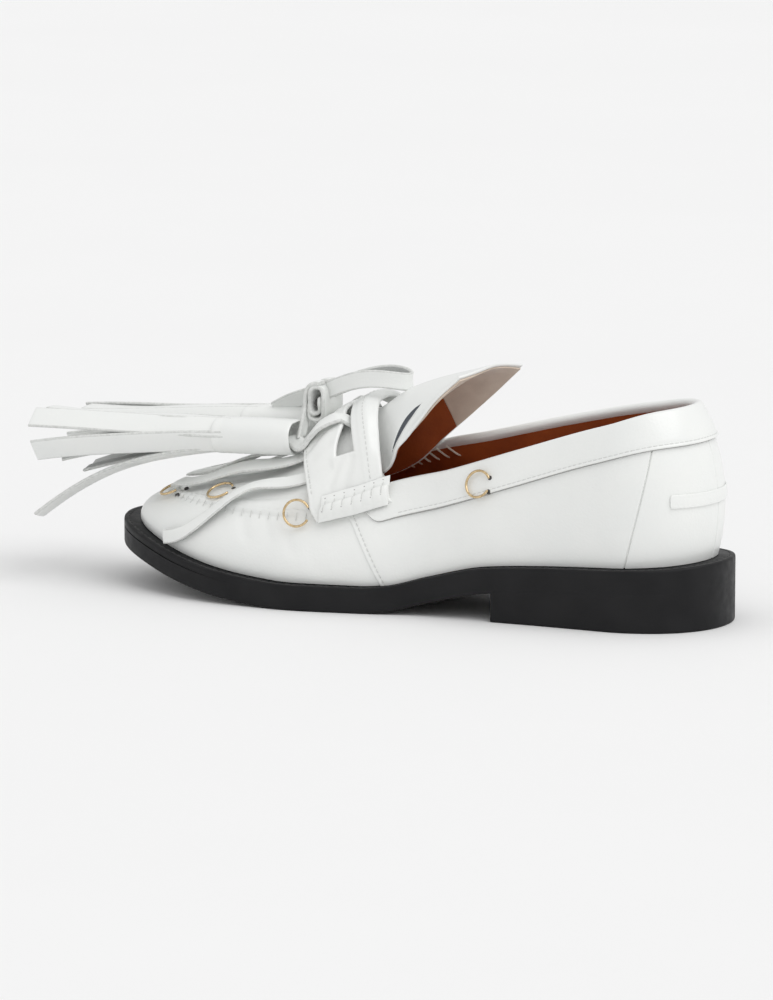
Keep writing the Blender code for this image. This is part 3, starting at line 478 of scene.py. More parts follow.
def wall_point(turn, rise):
    """A point on the outside of the wall. rise: 0 at the welt, 1 at the collar or apron seam."""
    turn, rise = floats(turn, rise)
    along = along_of(turn)
    base = feather(turn)
    low = welt_top(base[..., 0]) + GAP
    outer = np.mod(turn, 2 * PI) < PI
    height = np.where(outer, SIDE.mm("top", along), SIDE.mm("inner_top", along)) - low
    lean = SIDE.mm("lean", along)
    outs = (0 * lean, SIDE.mm("low_flare", along), SIDE.mm("high_flare", along) - lean, -lean)
    ups = (0 * height, 0.34 * height, SIDE.raw("high_share", along) * height, height)
    weights = ((1 - rise) ** 3, 3 * rise * (1 - rise) ** 2, 3 * rise**2 * (1 - rise), rise**3)
    ridge = seam_ridge(along, 1 - rise)
    out = sum(w * o for w, o in zip(weights, outs)) + ridge * 0.6
    up = sum(w * u for w, u in zip(weights, ups)) + ridge * 0.8
    return base + outward(turn) * out[..., None] + vec(0.0, 0.0, low + up)


def apron_point(along, across):
    """A point on the outside of the apron. across: 1 at the outer seam, -1 at the inner seam."""
    along, across = floats(along, across)
    outer, inner = wall_point(turn_of(1, along), 1.0), wall_point(turn_of(-1, along), 1.0)
    crown = APRON.mm("crown", along) * np.maximum(0.0, 1 - np.abs(across) ** CROWN_POWER) ** CROWN_ROUND
    sink = 0.8 * (seam_ridge(along, 0.0) - seam_ridge(along, 1 - np.abs(across)))
    share = ((1 + across) / 2)[..., None]
    return inner + (outer - inner) * share + vec(0.0, 0.0, crown - sink)


def skin_point(side, along, rise):
    """A point on the upper's outside. rise: 0 to 1 up the wall, then 1 to 2 over the apron to its middle."""
    side, along, rise = floats(side, along, rise)
    wall = wall_point(turn_of(side, along), np.clip(rise, 0.0, 1.0))
    apron = apron_point(along, side * (2 - np.clip(rise, 1.0, None)))
    return np.where((rise <= 1)[..., None], wall, apron)


def skin_normal(side, along, rise):
    side, along, rise = floats(side, along, rise)
    back, front = np.maximum(0.0, along - NORMAL_STEP / 3), np.minimum(1.0, along + NORMAL_STEP / 3)
    run = skin_point(side, front, rise) - skin_point(side, back, rise)
    low = np.maximum(0.0, rise - NORMAL_STEP)
    climb = skin_point(side, along, rise + NORMAL_STEP) - skin_point(side, along, low)
    return unit(np.cross(climb, run) * side[..., None])


def lifted(side, along, rise, lift):
    return skin_point(side, along, rise) + skin_normal(side, along, rise) * np.asarray(lift)[..., None]


def wall_normal(turn, rise):
    run = wall_point(turn + NORMAL_STEP, rise) - wall_point(turn - NORMAL_STEP, rise)
    climb = wall_point(turn, rise) - wall_point(turn, rise - NORMAL_STEP)
    return unit(np.cross(climb, run))


# Materials
class Paint:
    """A Principled material with a few procedural layers."""

    def __init__(self, name, colour, roughness, **sockets):
        self.made = bpy.data.materials.new(name)
        self.made.use_nodes = True
        self.tree = self.made.node_tree
        self.shader = self.tree.nodes["Principled BSDF"]
        self.shader.inputs["Base Color"].default_value = (*colour, 1.0)
        self.shader.inputs["Roughness"].default_value = roughness
        for socket, value in sockets.items():
            self.shader.inputs[socket.replace("_", " ")].default_value = value
        self.place = self.tree.nodes.new("ShaderNodeTexCoord").outputs["Object"]
        self.normal = None

    def noise(self, size_mm, detail):
        node = self.tree.nodes.new("ShaderNodeTexNoise")
        node.inputs["Scale"].default_value = 1000 / size_mm
        node.inputs["Detail"].default_value = detail
        self.tree.links.new(self.place, node.inputs["Vector"])
        return node.outputs["Fac"]

    def cells(self, size_mm):
        node = self.tree.nodes.new("ShaderNodeTexVoronoi")
        node.feature = "SMOOTH_F1"
        node.inputs["Scale"].default_value = 1000 / size_mm
        self.tree.links.new(self.place, node.inputs["Vector"])
        return node.outputs["Distance"]

    def ranged(self, value, low, high, to_low, to_high):
        node = self.tree.nodes.new("ShaderNodeMapRange")
        for socket, number in zip(node.inputs[1:5], (low, high, to_low, to_high)):
            socket.default_value = number
        self.tree.links.new(value, node.inputs["Value"])
        return node.outputs["Result"]

    def tint(self, size_mm, detail, low, high, other):
        """Colour runs to another one where the noise climbs from low to high."""
        base = self.shader.inputs["Base Color"]
        node = self.tree.nodes.new("ShaderNodeMix")
        node.data_type = "RGBA"
        first, second = [socket for socket in node.inputs if socket.type == "RGBA"][:2]
        first.default_value = base.default_value
        second.default_value = (*other, 1.0)
        share = self.ranged(self.noise(size_mm, detail), low, high, 0.0, 1.0)
        mixed = [socket for socket in node.outputs if socket.type == "RGBA"][0]
        self.tree.links.new(share, node.inputs["Factor"])
        self.tree.links.new(mixed, base)

    def rough(self, size_mm, detail, low, high):
        value = self.ranged(self.noise(size_mm, detail), 0.3, 0.7, low, high)
        self.tree.links.new(value, self.shader.inputs["Roughness"])

    def relief(self, value, height_mm):
        node = self.tree.nodes.new("ShaderNodeBump")
        node.inputs["Strength"].default_value = 1.0
        node.inputs["Distance"].default_value = height_mm * MM
        self.tree.links.new(value, node.inputs["Height"])
        if self.normal:
            self.tree.links.new(self.normal, node.inputs["Normal"])
        self.normal = node.outputs["Normal"]
        self.tree.links.new(self.normal, self.shader.inputs["Normal"])


def white_leather():
    paint = Paint("white_leather", (0.87, 0.88, 0.86), 0.33, Coat_Weight=0.25, Coat_Roughness=0.16)
    paint.tint(24, 4, 0.35, 0.75, (0.84, 0.855, 0.84))
    paint.rough(9, 3, 0.29, 0.41)
    paint.relief(paint.noise(14, 2), 0.12)
    paint.relief(paint.cells(0.9), 0.05)
    paint.relief(paint.noise(0.35, 2), 0.018)
    return paint.made


# Cut edges, greyer than the face: partly the cut leather's own colour, partly painted shade on the edges.
def cut_edge_with_shade():
    paint = Paint("white_leather_edge", (0.76, 0.77, 0.75), 0.6)
    paint.tint(1.4, 4, 0.35, 0.7, (0.62, 0.63, 0.61))
    paint.rough(2, 3, 0.5, 0.75)
    paint.relief(paint.noise(0.5, 3), 0.08)
    return paint.made


def brown_lining():
    paint = Paint("brown_lining", (0.40, 0.095, 0.024), 0.55, Specular_IOR_Level=0.25)
    paint.tint(11, 5, 0.35, 0.72, (0.29, 0.065, 0.02))
    paint.rough(5, 3, 0.44, 0.62)
    paint.relief(paint.cells(1.0), 0.07)
    paint.relief(paint.noise(0.4, 2), 0.03)
    return paint.made


def nude_lining():
    paint = Paint("nude_lining", (0.72, 0.61, 0.51), 0.72, Sheen_Weight=0.2)
    paint.tint(7, 5, 0.35, 0.72, (0.62, 0.51, 0.42))
    paint.rough(3, 3, 0.62, 0.82)
    paint.relief(paint.noise(0.45, 4), 0.05)
    return paint.made


def black_rubber():
    paint = Paint("black_rubber", (0.008, 0.008, 0.009), 0.5, Specular_IOR_Level=0.22)
    paint.tint(16, 5, 0.4, 0.75, (0.013, 0.013, 0.014))
    paint.rough(4, 4, 0.42, 0.58)
    paint.relief(paint.noise(0.6, 3), 0.025)
    paint.relief(paint.noise(6, 2), 0.05)
    return paint.made


def gold():
    paint = Paint("gold_wire", (0.78, 0.60, 0.36), 0.2, Metallic=1.0)
    paint.tint(1.2, 3, 0.4, 0.75, (0.50, 0.36, 0.19))
    paint.rough(0.8, 3, 0.14, 0.3)
    paint.relief(paint.noise(0.5, 2), 0.008)
    return paint.made


def matt(name, colour, other):
    """Thread, the leather's reverse, and painted shade for holes, seams, the tongue's fold and the strips'
    undersides.
    """
    paint = Paint(name, colour, 0.6)
    paint.tint(0.5, 3, 0.35, 0.7, other)
    paint.rough(0.6, 2, 0.5, 0.7)
    paint.relief(paint.noise(0.3, 2), 0.05)
    return paint.made


def floor_finish():
    paint = Paint("pale_floor", (0.90, 0.90, 0.90), 0.75, Specular_IOR_Level=0.1)
    paint.tint(260, 2, 0.3, 0.7, (0.893, 0.893, 0.893))
    paint.rough(60, 2, 0.7, 0.8)
    return paint.made


# Finishes by their short names, grouped by the slot that they stand for
FINISH = {
    "white_leather": {
        "white": white_leather(),
        "edge": cut_edge_with_shade(),
        "white_thread": matt("white_thread", (0.74, 0.75, 0.73), (0.62, 0.63, 0.61)),
        # Near-black painted shade, for pits at the rings' holes and the core in the knot's eye.
        "hole": matt("painted_hole_shade", (0.045, 0.043, 0.04), (0.09, 0.085, 0.08)),
        # Grey painted shade for the needle holes beside the rolls' stitches.
        "pinhole": matt("painted_needle_hole_shade", (0.46, 0.46, 0.45), (0.56, 0.56, 0.55)),
        # Darker grey for the collar band's lower edge: partly the cut edge's colour, partly painted seam
        # shade.
        "seam": matt("seam_shadow", (0.33, 0.33, 0.32), (0.43, 0.43, 0.42)),
        # Blue-black painted shade, on a sheet inside the tongue's fold.
        "fold": matt("fold_shadow", (0.055, 0.063, 0.077), (0.10, 0.11, 0.125)),
        # Inner faces of strips and loop: partly the leather's back, partly painted shade between and under
        # them.
        "reverse": matt("leather_back_and_painted_shade", (0.50, 0.51, 0.50), (0.42, 0.43, 0.42)),
    },
    "tan_lining": {
        "brown": brown_lining(),
        "nude": nude_lining(),
        "pale_thread": matt("pale_thread", (0.80, 0.74, 0.66), (0.70, 0.63, 0.55)),
    },
    "black_rubber": {
        "black": black_rubber(),
        "black_thread": matt("black_thread", (0.03, 0.03, 0.03), (0.045, 0.045, 0.045)),
    },
    "gold_wire": {"gold": gold()},
}


# Mesh building
def placed(name, data):
    """An object with this data, linked to the scene."""
    obj = bpy.data.objects.new(name, data)
    bpy.context.scene.collection.objects.link(obj)
    return obj


class Build:
    """Collects grids of points into one mesh object."""

    def __init__(self):
        self.points, self.quads, self.marks, self.count = [], [], [], 0

    def grid(self, points, loop_rows=False, loop_columns=False, finish=0, skip=None):
        rows, columns = points.shape[:2]
        ids = np.arange(rows * columns).reshape(rows, columns) + self.count
        if loop_rows:
            ids = np.vstack([ids, ids[:1]])
        if loop_columns:
            ids = np.hstack([ids, ids[:, :1]])
        quads = np.stack([ids[:-1, :-1], ids[1:, :-1], ids[1:, 1:], ids[:-1, 1:]], -1)
        marks = np.broadcast_to(finish, quads.shape[:2])
        keep = np.ones(quads.shape[:2], bool) if skip is None else ~skip
        self.points.append(points.reshape(-1, 3))
        self.quads.append(quads[keep])
        self.marks.append(marks[keep])
        self.count += rows * columns

    def mesh(self, name):
        mesh = bpy.data.meshes.new(name)
        mesh.from_pydata(np.concatenate(self.points).tolist(), [], np.concatenate(self.quads).tolist())
        return mesh

    def make(self, name, finishes, replaces=(), body="shoe", flip=False):
        slot = next(slot for slot, group in FINISH.items() if finishes[0] in group)
        mesh = self.mesh(name)
        mesh.polygons.foreach_set("material_index", np.concatenate(self.marks).astype(np.int32))
        for finish in finishes:
            mesh.materials.append(FINISH[slot][finish])
        bm = bmesh.new()
        bm.from_mesh(mesh)
        bmesh.ops.remove_doubles(bm, verts=bm.verts, dist=WELD_DISTANCE)
        bmesh.ops.dissolve_degenerate(bm, edges=bm.edges, dist=SMALLEST_EDGE)
        bmesh.ops.delete(bm, geom=[v for v in bm.verts if not v.link_faces], context="VERTS")
        bmesh.ops.recalc_face_normals(bm, faces=bm.faces)
        if flip:
            bmesh.ops.reverse_faces(bm, faces=bm.faces)
        bm.to_mesh(mesh)
        bm.free()
        mesh.shade_smooth()
        mesh.set_sharp_from_angle(angle=SHARP_ANGLE)
        obj = placed(name, mesh)
        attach(obj, body)
        if replaces:
            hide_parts(*replaces)
        return obj


def shares(count, length, rim):
    """Even steps from 0 to 1, with close ones in the rim at both ends."""
    edge = (1 - np.cos(np.linspace(0, PI / 2, 6))) * rim / length
    return np.concatenate([edge, np.linspace(edge[-1], 1 - edge[-1], count)[1:-1], 1 - edge[::-1]])


def edge_distance(points):
    """Distance of each grid point from the grid's border, along its rows and columns."""
    best = np.full(points.shape[:2], np.inf)
    for axis in (0, 1):
        steps = np.linalg.norm(np.diff(points, axis=axis), axis=-1)
        run = np.cumsum(steps, axis=axis)
        run = np.concatenate([np.zeros_like(run.take([0], axis)), run], axis)
        best = np.minimum(best, np.minimum(run, run.take([-1], axis) - run))
    return best


def rounded(distance, radius):
    near = np.clip(distance / radius, 0.0, 1.0)
    return np.sqrt(1 - (1 - near) ** 2)


def slab(build, base, normal, thick, distance=None, skip=None):
    """A sheet with round edges, standing on base by thick along normal."""
    thick = np.broadcast_to(thick, base.shape[:2])
    if distance is None:
        distance = edge_distance(base)
    full = rounded(distance, thick / 2)
    build.grid(base + normal * (thick / 2 * (1 + full))[..., None], skip=skip)
    build.grid(base + normal * (thick / 2 * (1 - full))[..., None], skip=skip)


def band(build, path, across, up, thick, cup=0.0, edge_finish=0, under_finish=0):
    """A flat strip with round edges and cut ends. across: half-width vectors. cup: how far its edges bend."""
    radius = thick / 2
    width = np.linalg.norm(across, axis=-1)[:, None]
    flat = np.linspace(-1, 1, 9)
    arc = np.linspace(PI / 2, -PI / 2, 7)[1:-1]
    inner = width - radius
    edge = inner + radius * np.cos(arc)
    ys = np.concatenate([flat * inner, edge, flat[::-1] * inner, -edge], axis=1)
    zs = np.concatenate([0 * flat + 1, np.sin(arc), 0 * flat - 1, -np.sin(arc)]) * radius
    sizes = np.ones(len(path))
    sizes[0] = sizes[-1] = 0.75
    rows = np.concatenate([[0], np.arange(len(path)), [len(path) - 1]])
    sizes = np.concatenate([[0], sizes, [0]])
    zs = sizes[:, None] * zs[None]
    ys = ys[rows]
    bend = -np.broadcast_to(cup, (len(path),))[rows][:, None] * (ys / width[rows]) ** 2
    side = unit(across)[rows][:, None]
    points = path[rows][:, None] + side * ys[..., None] + up[rows][:, None] * (zs + bend)[..., None]
    marks = np.zeros((len(rows) - 1, len(zs[0])), int)
    marks[:, 8:14] = edge_finish
    marks[:, 14:22] = under_finish
    marks[:, 22:] = edge_finish
    marks[0] = marks[-1] = edge_finish
    build.grid(points, loop_columns=True, finish=marks)


def resampled(line, spacing):
    """Row numbers of places at even spacing on a line."""
    run = run_along(line)
    count = max(2, int(round(run[-1] / spacing)) + 1)
    return np.interp(np.linspace(0, run[-1], count), run, np.arange(len(line)))


def at_rows(values, rows):
    low = np.clip(rows.astype(int), 0, len(values) - 2)
    part = (rows - low)[:, None]
    return values[low] * (1 - part) + values[low + 1] * part


def tube(build, path, radius, sides=12, ends=True, finish=0):
    """A round bar along a path, with rounded ends."""
    run = heading(path)
    guide = np.array([0.31, 0.52, 0.79])
    first = unit(np.cross(run, guide))
    second = np.cross(run, first)
    angles = np.linspace(0, 2 * PI, sides, endpoint=False)
    circle = first[:, None] * np.cos(angles)[None, :, None] + second[:, None] * np.sin(angles)[None, :, None]
    size = np.full(len(path), radius) if np.isscalar(radius) else radius
    rows = path[:, None] + circle * size[:, None, None]
    if ends:
        caps = []
        for index, sign in ((0, -1), (-1, 1)):
            ahead, ring = run[index] * sign * size[index], circle[index] * size[index]
            caps.append([path[index] + ahead * a + ring * b for a, b in TUBE_END])
        rows = np.concatenate([np.array(caps[0][::-1]), rows, np.array(caps[1])])
    build.grid(rows, loop_columns=True, finish=finish)


def stitches(build, line, normal, length, spacing, radius, proud):
    """Short threads along a line, each with both ends sunk in the leather."""
    rows = resampled(line, spacing)
    points, ups = at_rows(line, rows), unit(at_rows(normal, rows))
    runs = heading(points)
    t = np.linspace(-1, 1, 7)
    for point, up, run in zip(points, ups, runs):
        arch = proud - (radius + proud) * t**4
        path = point + run * (t * length / 2)[:, None] + up * arch[:, None]
        tube(build, path, radius, 6, ends=False)


def pit(build, point, normal, radius):
    """A small hole's painted shade: a shallow dome that is sunk into the leather."""
    side = unit(np.cross(normal, np.array([0.3, 0.5, 0.8])))
    other = np.cross(normal, side)
    angles = np.linspace(0, 2 * PI, 14, endpoint=False)
    circle = side * np.cos(angles)[:, None] + other * np.sin(angles)[:, None]
    rows = [point + circle * radius * size + normal * up * radius for size, up in PIT_DOME]
    build.grid(np.array(rows), loop_columns=True)


def splined(values, count):
    """A smooth curve through a few points, with count points on it."""
    slopes = np.gradient(values, axis=0)
    at = np.linspace(0, len(values) - 1, count)
    low = np.clip(at.astype(int), 0, len(values) - 2)
    t = (at - low)[:, None]
    return eased(values[low], values[low + 1], slopes[low], slopes[low + 1], t)


def grid_normals(points):
    down = np.gradient(points, axis=0)
    over = np.gradient(points, axis=1)
    return unit(np.cross(down, over))


def nearest(points, line):
    """Distance from each point to a line of points, and the number of the nearest one."""
    distance = np.empty(points.shape[:2])
    index = np.empty(points.shape[:2], int)
    for i, row in enumerate(points):
        apart = np.linalg.norm(row[:, None] - line[None], axis=-1)
        index[i] = apart.argmin(axis=1)
        distance[i] = apart.min(axis=1)
    return distance, index


# The seam round the apron, and its gathers
SEAM_TURNS = np.linspace(float(turn_of(1, SEAM_START)), float(turn_of(-1, SEAM_START)), 900)
SEAM_LINE = wall_point(SEAM_TURNS, 1.0)
SEAM_RUN = run_along(SEAM_LINE)


def gathers(points, depth_mm, reach):
    """How far the leather sinks at the apron seam's stitches."""
    distance, index = nearest(points, SEAM_LINE)
    swell = np.abs(np.sin(PI * SEAM_RUN[index] / PUCKER)) ** 0.8
    start = smooth((along_of(SEAM_TURNS[index]) - SEAM_START) / SEAM_FADE)
    return -depth_mm * MM * (1 - swell) * start * bump(distance, reach)


# Sole
def slab_rows(turns, levels):
    """Sections across half the sole. levels: (move out, height) from below, height a function of x."""
    rows = []
    for extra, height in levels:
        point = outline(turns, extra * MM)
        rows.append(vec(point[:, 0], point[:, 1], height(point[:, 0])))
    return np.stack(rows, 1)


def sole_section(turns, levels):
    outer, inner = slab_rows(turns, levels), slab_rows(2 * PI - turns, levels)
    return np.concatenate([outer, inner[:, ::-1]], 1)


def over_low(up):
    return lambda x: sole_low(x) + up * MM


def make_outsole():
    turns = np.linspace(0, PI, 240)
    levels = [(out, over_low(up)) for out, up in OUTSOLE_PROFILE]
    build = Build()
    build.grid(sole_section(turns, levels), loop_columns=True)
    build.make("outsole_shape", ["black"], ["outsole"])


def under_sole(share, up):
    return lambda x: share * (sole_low(x) - GAP) + up * MM


def make_heel():
    breast = float(turn_of(1, (BREAST - LAST_BACK) / LAST_LENGTH))
    turns = np.concatenate([np.linspace(0, breast - 0.006, 90), [breast - 0.003, breast - 0.001, breast]])
    levels = [(out, under_sole(share, up)) for out, share, up in HEEL_PROFILE]
    section = sole_section(turns, levels)
    # The last rows draw back a little, so that the breast's edge is round
    section[-1, :, 0] -= 0.25 * MM
    section[-2, :, 0] -= 0.05 * MM
    count = len(levels)
    outer, inner = section[-1, :count], section[-1, count:][::-1]
    steps = np.linspace(0, 1, 13)
    hollow = 0.9 * MM * (1 - (2 * steps - 1) ** 4)
    face = between(outer, inner, steps)
    face[..., 0] -= hollow[None] * smooth(np.arange(count) / 2)[:, None]
    build = Build()
    build.grid(section, loop_columns=True)
    build.grid(face)
    build.make("heel_shape", ["black"], ["heel"])


def make_welt():
    turns = np.linspace(0, 2 * PI, 420, endpoint=False)
    base = OUTSOLE_THICK + GAP
    rows = []
    groove = 0.55 * smooth((along_of(turns) - 0.72) / 0.2)
    for out, up in WELT_PROFILE:
        point = outline(turns, (out - groove * (abs(up - 0.1) < 0.2)) * MM)
        rows.append(vec(point[:, 0], point[:, 1], sole_low(point[:, 0]) + base + up * MM))
    for up in (WELT_THICK, 0.0):
        point = feather(turns) - outward(turns) * 3.0 * MM
        rows.append(vec(point[:, 0], point[:, 1], sole_low(point[:, 0]) + base + up))
    build = Build()
    build.grid(np.stack(rows, 1), loop_rows=True, loop_columns=True)
    build.make("welt_shape", ["black"], ["welt"])
    closed = np.linspace(0, 2 * PI, 900)
    line = outline(closed, WELT_GROOVE[0])
    line = vec(line[:, 0], line[:, 1], sole_low(line[:, 0]) + base + WELT_GROOVE[1])
    build = Build()
    stitches(build, line, vec(0 * closed, 0, 1), *WELT_STITCH)
    build.make("welt_stitches", ["black_thread"])


def make_insole():
    """The sock: a slightly dished footbed with round edges."""
    inset = WALL + 1.1 * MM
    turns = np.linspace(0.02, PI - 0.02, 150)
    outer, inner = (feather(t) - outward(t) * inset for t in (turns, 2 * PI - turns))
    steps = shares(40, 60 * MM, 1.5 * MM)
    base = between(outer, inner, steps)
    low = welt_top(base[..., 0]) - WELT_THICK
    base = vec(base[..., 0], base[..., 1], low + 0.6 * MM)
    dish = 0.5 * MM * (2 * steps - 1)[None] ** 2
    slope = np.gradient(low[:, 20], base[:, 20, 0])
    normal = unit(vec(-slope, 0, 1))[:, None] + np.zeros_like(base)
    build = Build()
    slab(build, base, normal, SOCK_THICK + dish)
    build.make("insole_sock", ["brown"], ["insole"])


# Upper
def folded(column):
    """A column's angle from the heel, the same on both sides of the shoe."""
    return np.where(column <= PI, column, 2 * PI - column)


def wall_turn(column, rise):
    sign = np.where(column <= PI, 1.0, -1.0)
    return column + sign * SHEAR.raw("shift", folded(column)) * (np.minimum(rise / SHEAR_TOP, 1.0) - 0.5)


def seam_apart(column, seam):
    """Distance of a column from a panel seam on either side of the shoe, + towards the toe."""
    rate = np.linalg.norm(wall_point(seam + 0.01, 0.5) - wall_point(seam - 0.01, 0.5)) / 0.02
    return (folded(column) - seam) * rate


def wall_columns():
    close = np.array([0.1, 0.25, 0.4, 0.6, 0.85, 1.2, 1.6, 2.1, 2.7]) / 100
    close = np.concatenate([-close[::-1], [0], close]) * 0.9
    columns = [np.linspace(0, 2 * PI, 440, endpoint=False)]
    for seam in (BACK_SEAM, COUNTER_SEAM, SIDE_SEAM):
        columns += [seam + close, 2 * PI - seam + close]
    return np.unique(np.round(np.mod(np.concatenate(columns), 2 * PI), 5))


def make_wall():
    columns = wall_columns()[:, None]
    rises = np.concatenate([np.linspace(0, 0.86, 44), np.linspace(0.86, 1, 22)[1:]])[None]
    turns = wall_turn(columns, rises)
    points, normals = wall_point(turns, rises), wall_normal(turns, rises)
    side = seam_apart(columns, SIDE_SEAM)
    # The side panel's raised edge, with a groove for its stitches
    relief = 0.55 * smooth((0.15 * MM - side) / (0.6 * MM)) * smooth((side + 30 * MM) / (26 * MM))
    relief = relief * (side < 1 * MM) - 0.16 * bump(side + SIDE_STITCH_LINE, 0.5 * MM)
    for seam, swell, reach, depth, width in CLOSED_SEAMS:
        apart = seam_apart(columns, seam) / MM
        relief = relief + swell * np.exp(-np.abs(apart) / reach) - depth * bump(apart, width)
    along = along_of(turns)
    for middle, width, low, high, depth in CREASES:
        lean = middle + 0.05 * (rises - 0.5)
        ends = smooth((rises - low) / 0.2) * smooth((high - rises) / 0.2)
        relief = relief - depth * bump(along - lean, width) * ends
    sink = gathers(points, 0.34, 4 * MM)
    points = points + normals * (relief * MM + sink)[..., None]
    top, climb = points[:, -1], unit(points[:, -1] - points[:, -3])
    face = unit(np.cross(climb, np.cross(normals[:, -1], climb)))
    roll = []
    radius = 0.6 * MM
    for angle in np.linspace(0, PI, 8)[1:]:
        roll.append(top - face * radius + (face * math.cos(angle) + climb * math.sin(angle)) * radius)
    roll.append(roll[-1] - climb * 2 * MM)
    build = Build()
    build.grid(np.concatenate([points, np.stack(roll, 1)], 1), loop_rows=True)
    build.make("vamp_and_quarters", ["white"], ["upper"])
    build = Build()
    for sign in (1, -1):
        climb = np.linspace(0.05, 0.80, 120)
        column = SIDE_SEAM - SIDE_STITCH_LINE / SIDE_RADIAN
        column = column if sign > 0 else 2 * PI - column
        line_turns = wall_turn(np.full_like(climb, column), climb)
        normal = wall_normal(line_turns, climb)
        stitches(build, wall_point(line_turns, climb) + normal * 0.45 * MM, normal, *SEAM_STITCH)
    build.make("side_seam_stitches", ["white_thread"])


def apron_grid():
    """The apron's rows from the throat to the toe, as (points, normals)."""
    steps = np.arange(12 * FINE + 1) / FINE
    outer, inner = APRON_HALF.raw("across", steps), -APRON_HALF.raw("across", 12 - steps)
    across = np.where(steps <= 6, outer, inner)[None]
    k = np.arange(THROAT_TURN, TOE_TURN + 1)[:, None]
    fade = (TOE_TURN - k) / (TOE_TURN - THROAT_TURN)
    rows = apron_point(along_of(PI * k / HALF_TURNS) + THROAT_SLANT * (1 - across**2) * fade, across)
    edge = wall_point(PI * np.arange(TOE_TURN, 2 * HALF_TURNS - TOE_TURN + 1) / HALF_TURNS, 1.0)
    share = (1 - (1 - np.linspace(0, 1, 41)[1:]) ** 1.5)[:, None]
    ridge = RIDGE_HEIGHT * 0.8
    held = ridge * np.maximum(0.0, 1 - ((1 - np.abs(across)) / RIDGE_SHARE) ** 2)
    near = ridge * np.maximum(0.0, 1 - ((1 - share) / TOE_RIDGE_SHARE) ** 2)
    start = rows[-1][None] - vec(0, 0, held)
    toe = start + (edge[None] - vec(0, 0, ridge) - start) * share[..., None]
    toe = toe + vec(0, 0, np.maximum(held, near))
    points = np.concatenate([rows, toe])
    normals = grid_normals(points)
    normals = normals * np.where(normals[..., 2:].mean() < 0, -1, 1)
    return points, normals


def make_apron():
    points, normals = apron_grid()
    sink = gathers(points, 0.3, 3.5 * MM)
    build = Build()
    build.grid(points + normals * sink[..., None])
    throat = points[0] + (normals * sink[..., None])[0]
    build.grid(np.stack([throat, throat - normals[0] * WALL / 2, throat - normals[0] * WALL * 1.2]))
    build.make("apron_plug", ["white"], ["upper"])
    seam = resampled(SEAM_LINE, PUCKER)
    build = Build()
    for row in seam[2:-2]:
        turn = np.interp(row, np.arange(len(SEAM_TURNS)), SEAM_TURNS)
        low = wall_point(turn, 1 - PUCKER_FOOT)
        top = wall_point(turn, 1.0)
        inward = -outward(np.array(turn))
        over = top + inward * 2.4 * MM - np.array([0, 0, 0.9 * MM])
        t = np.linspace(0, 1, 9)[:, None]
        path = low * (1 - t) ** 2 + 2 * (top + np.array([0, 0, 0.8 * MM])) * t * (1 - t) + over * t**2
        tube(build, path, 0.17 * MM, 6)
    build.make("apron_seam_stitches", ["white_thread"])


def make_lining():
    build = Build()
    turns = np.linspace(0, 2 * PI, 256, endpoint=False)[:, None]
    rises = np.linspace(0.03, 1, 30)[None]
    inside = wall_point(turns, rises) - wall_normal(turns, rises) * WALL
    foot, inward = feather(turns), -outward(turns)
    cove = [
        foot + inward * (WALL + reach * MM) + vec(0, 0, welt_top(foot[..., 0]) + up * MM)
        for reach, up in LINING_COVE
    ]
    build.grid(np.concatenate([*cove, inside], 1), loop_rows=True)
    points, normals = apron_grid()
    build.grid((points - normals * WALL)[:-20:2, 6:-6:2])
    build.make("upper_lining", ["brown"], flip=True)
    build = Build()
    t = np.linspace(0, 1, 9)
    for along in LINING_STITCHES:
        turn, rise = turn_of(-1, along + 0.009 - 0.018 * t), 0.99 - 0.12 * t
        inset = WALL + 0.35 * MM - 0.6 * MM * (2 * t - 1) ** 6
        tube(build, wall_point(turn, rise) - wall_normal(turn, rise) * inset[:, None], 0.42 * MM, 7)
    build.make("lining_stitches", ["pale_thread"])


def band_depth(turn):
    """Depth of the collar band: full along the collar, and curving up under the strap's end."""
    along = along_of(turn)
    return BAND_DEPTH - 9.0 * MM * smooth((along - 0.50) / 0.048) ** 1.5


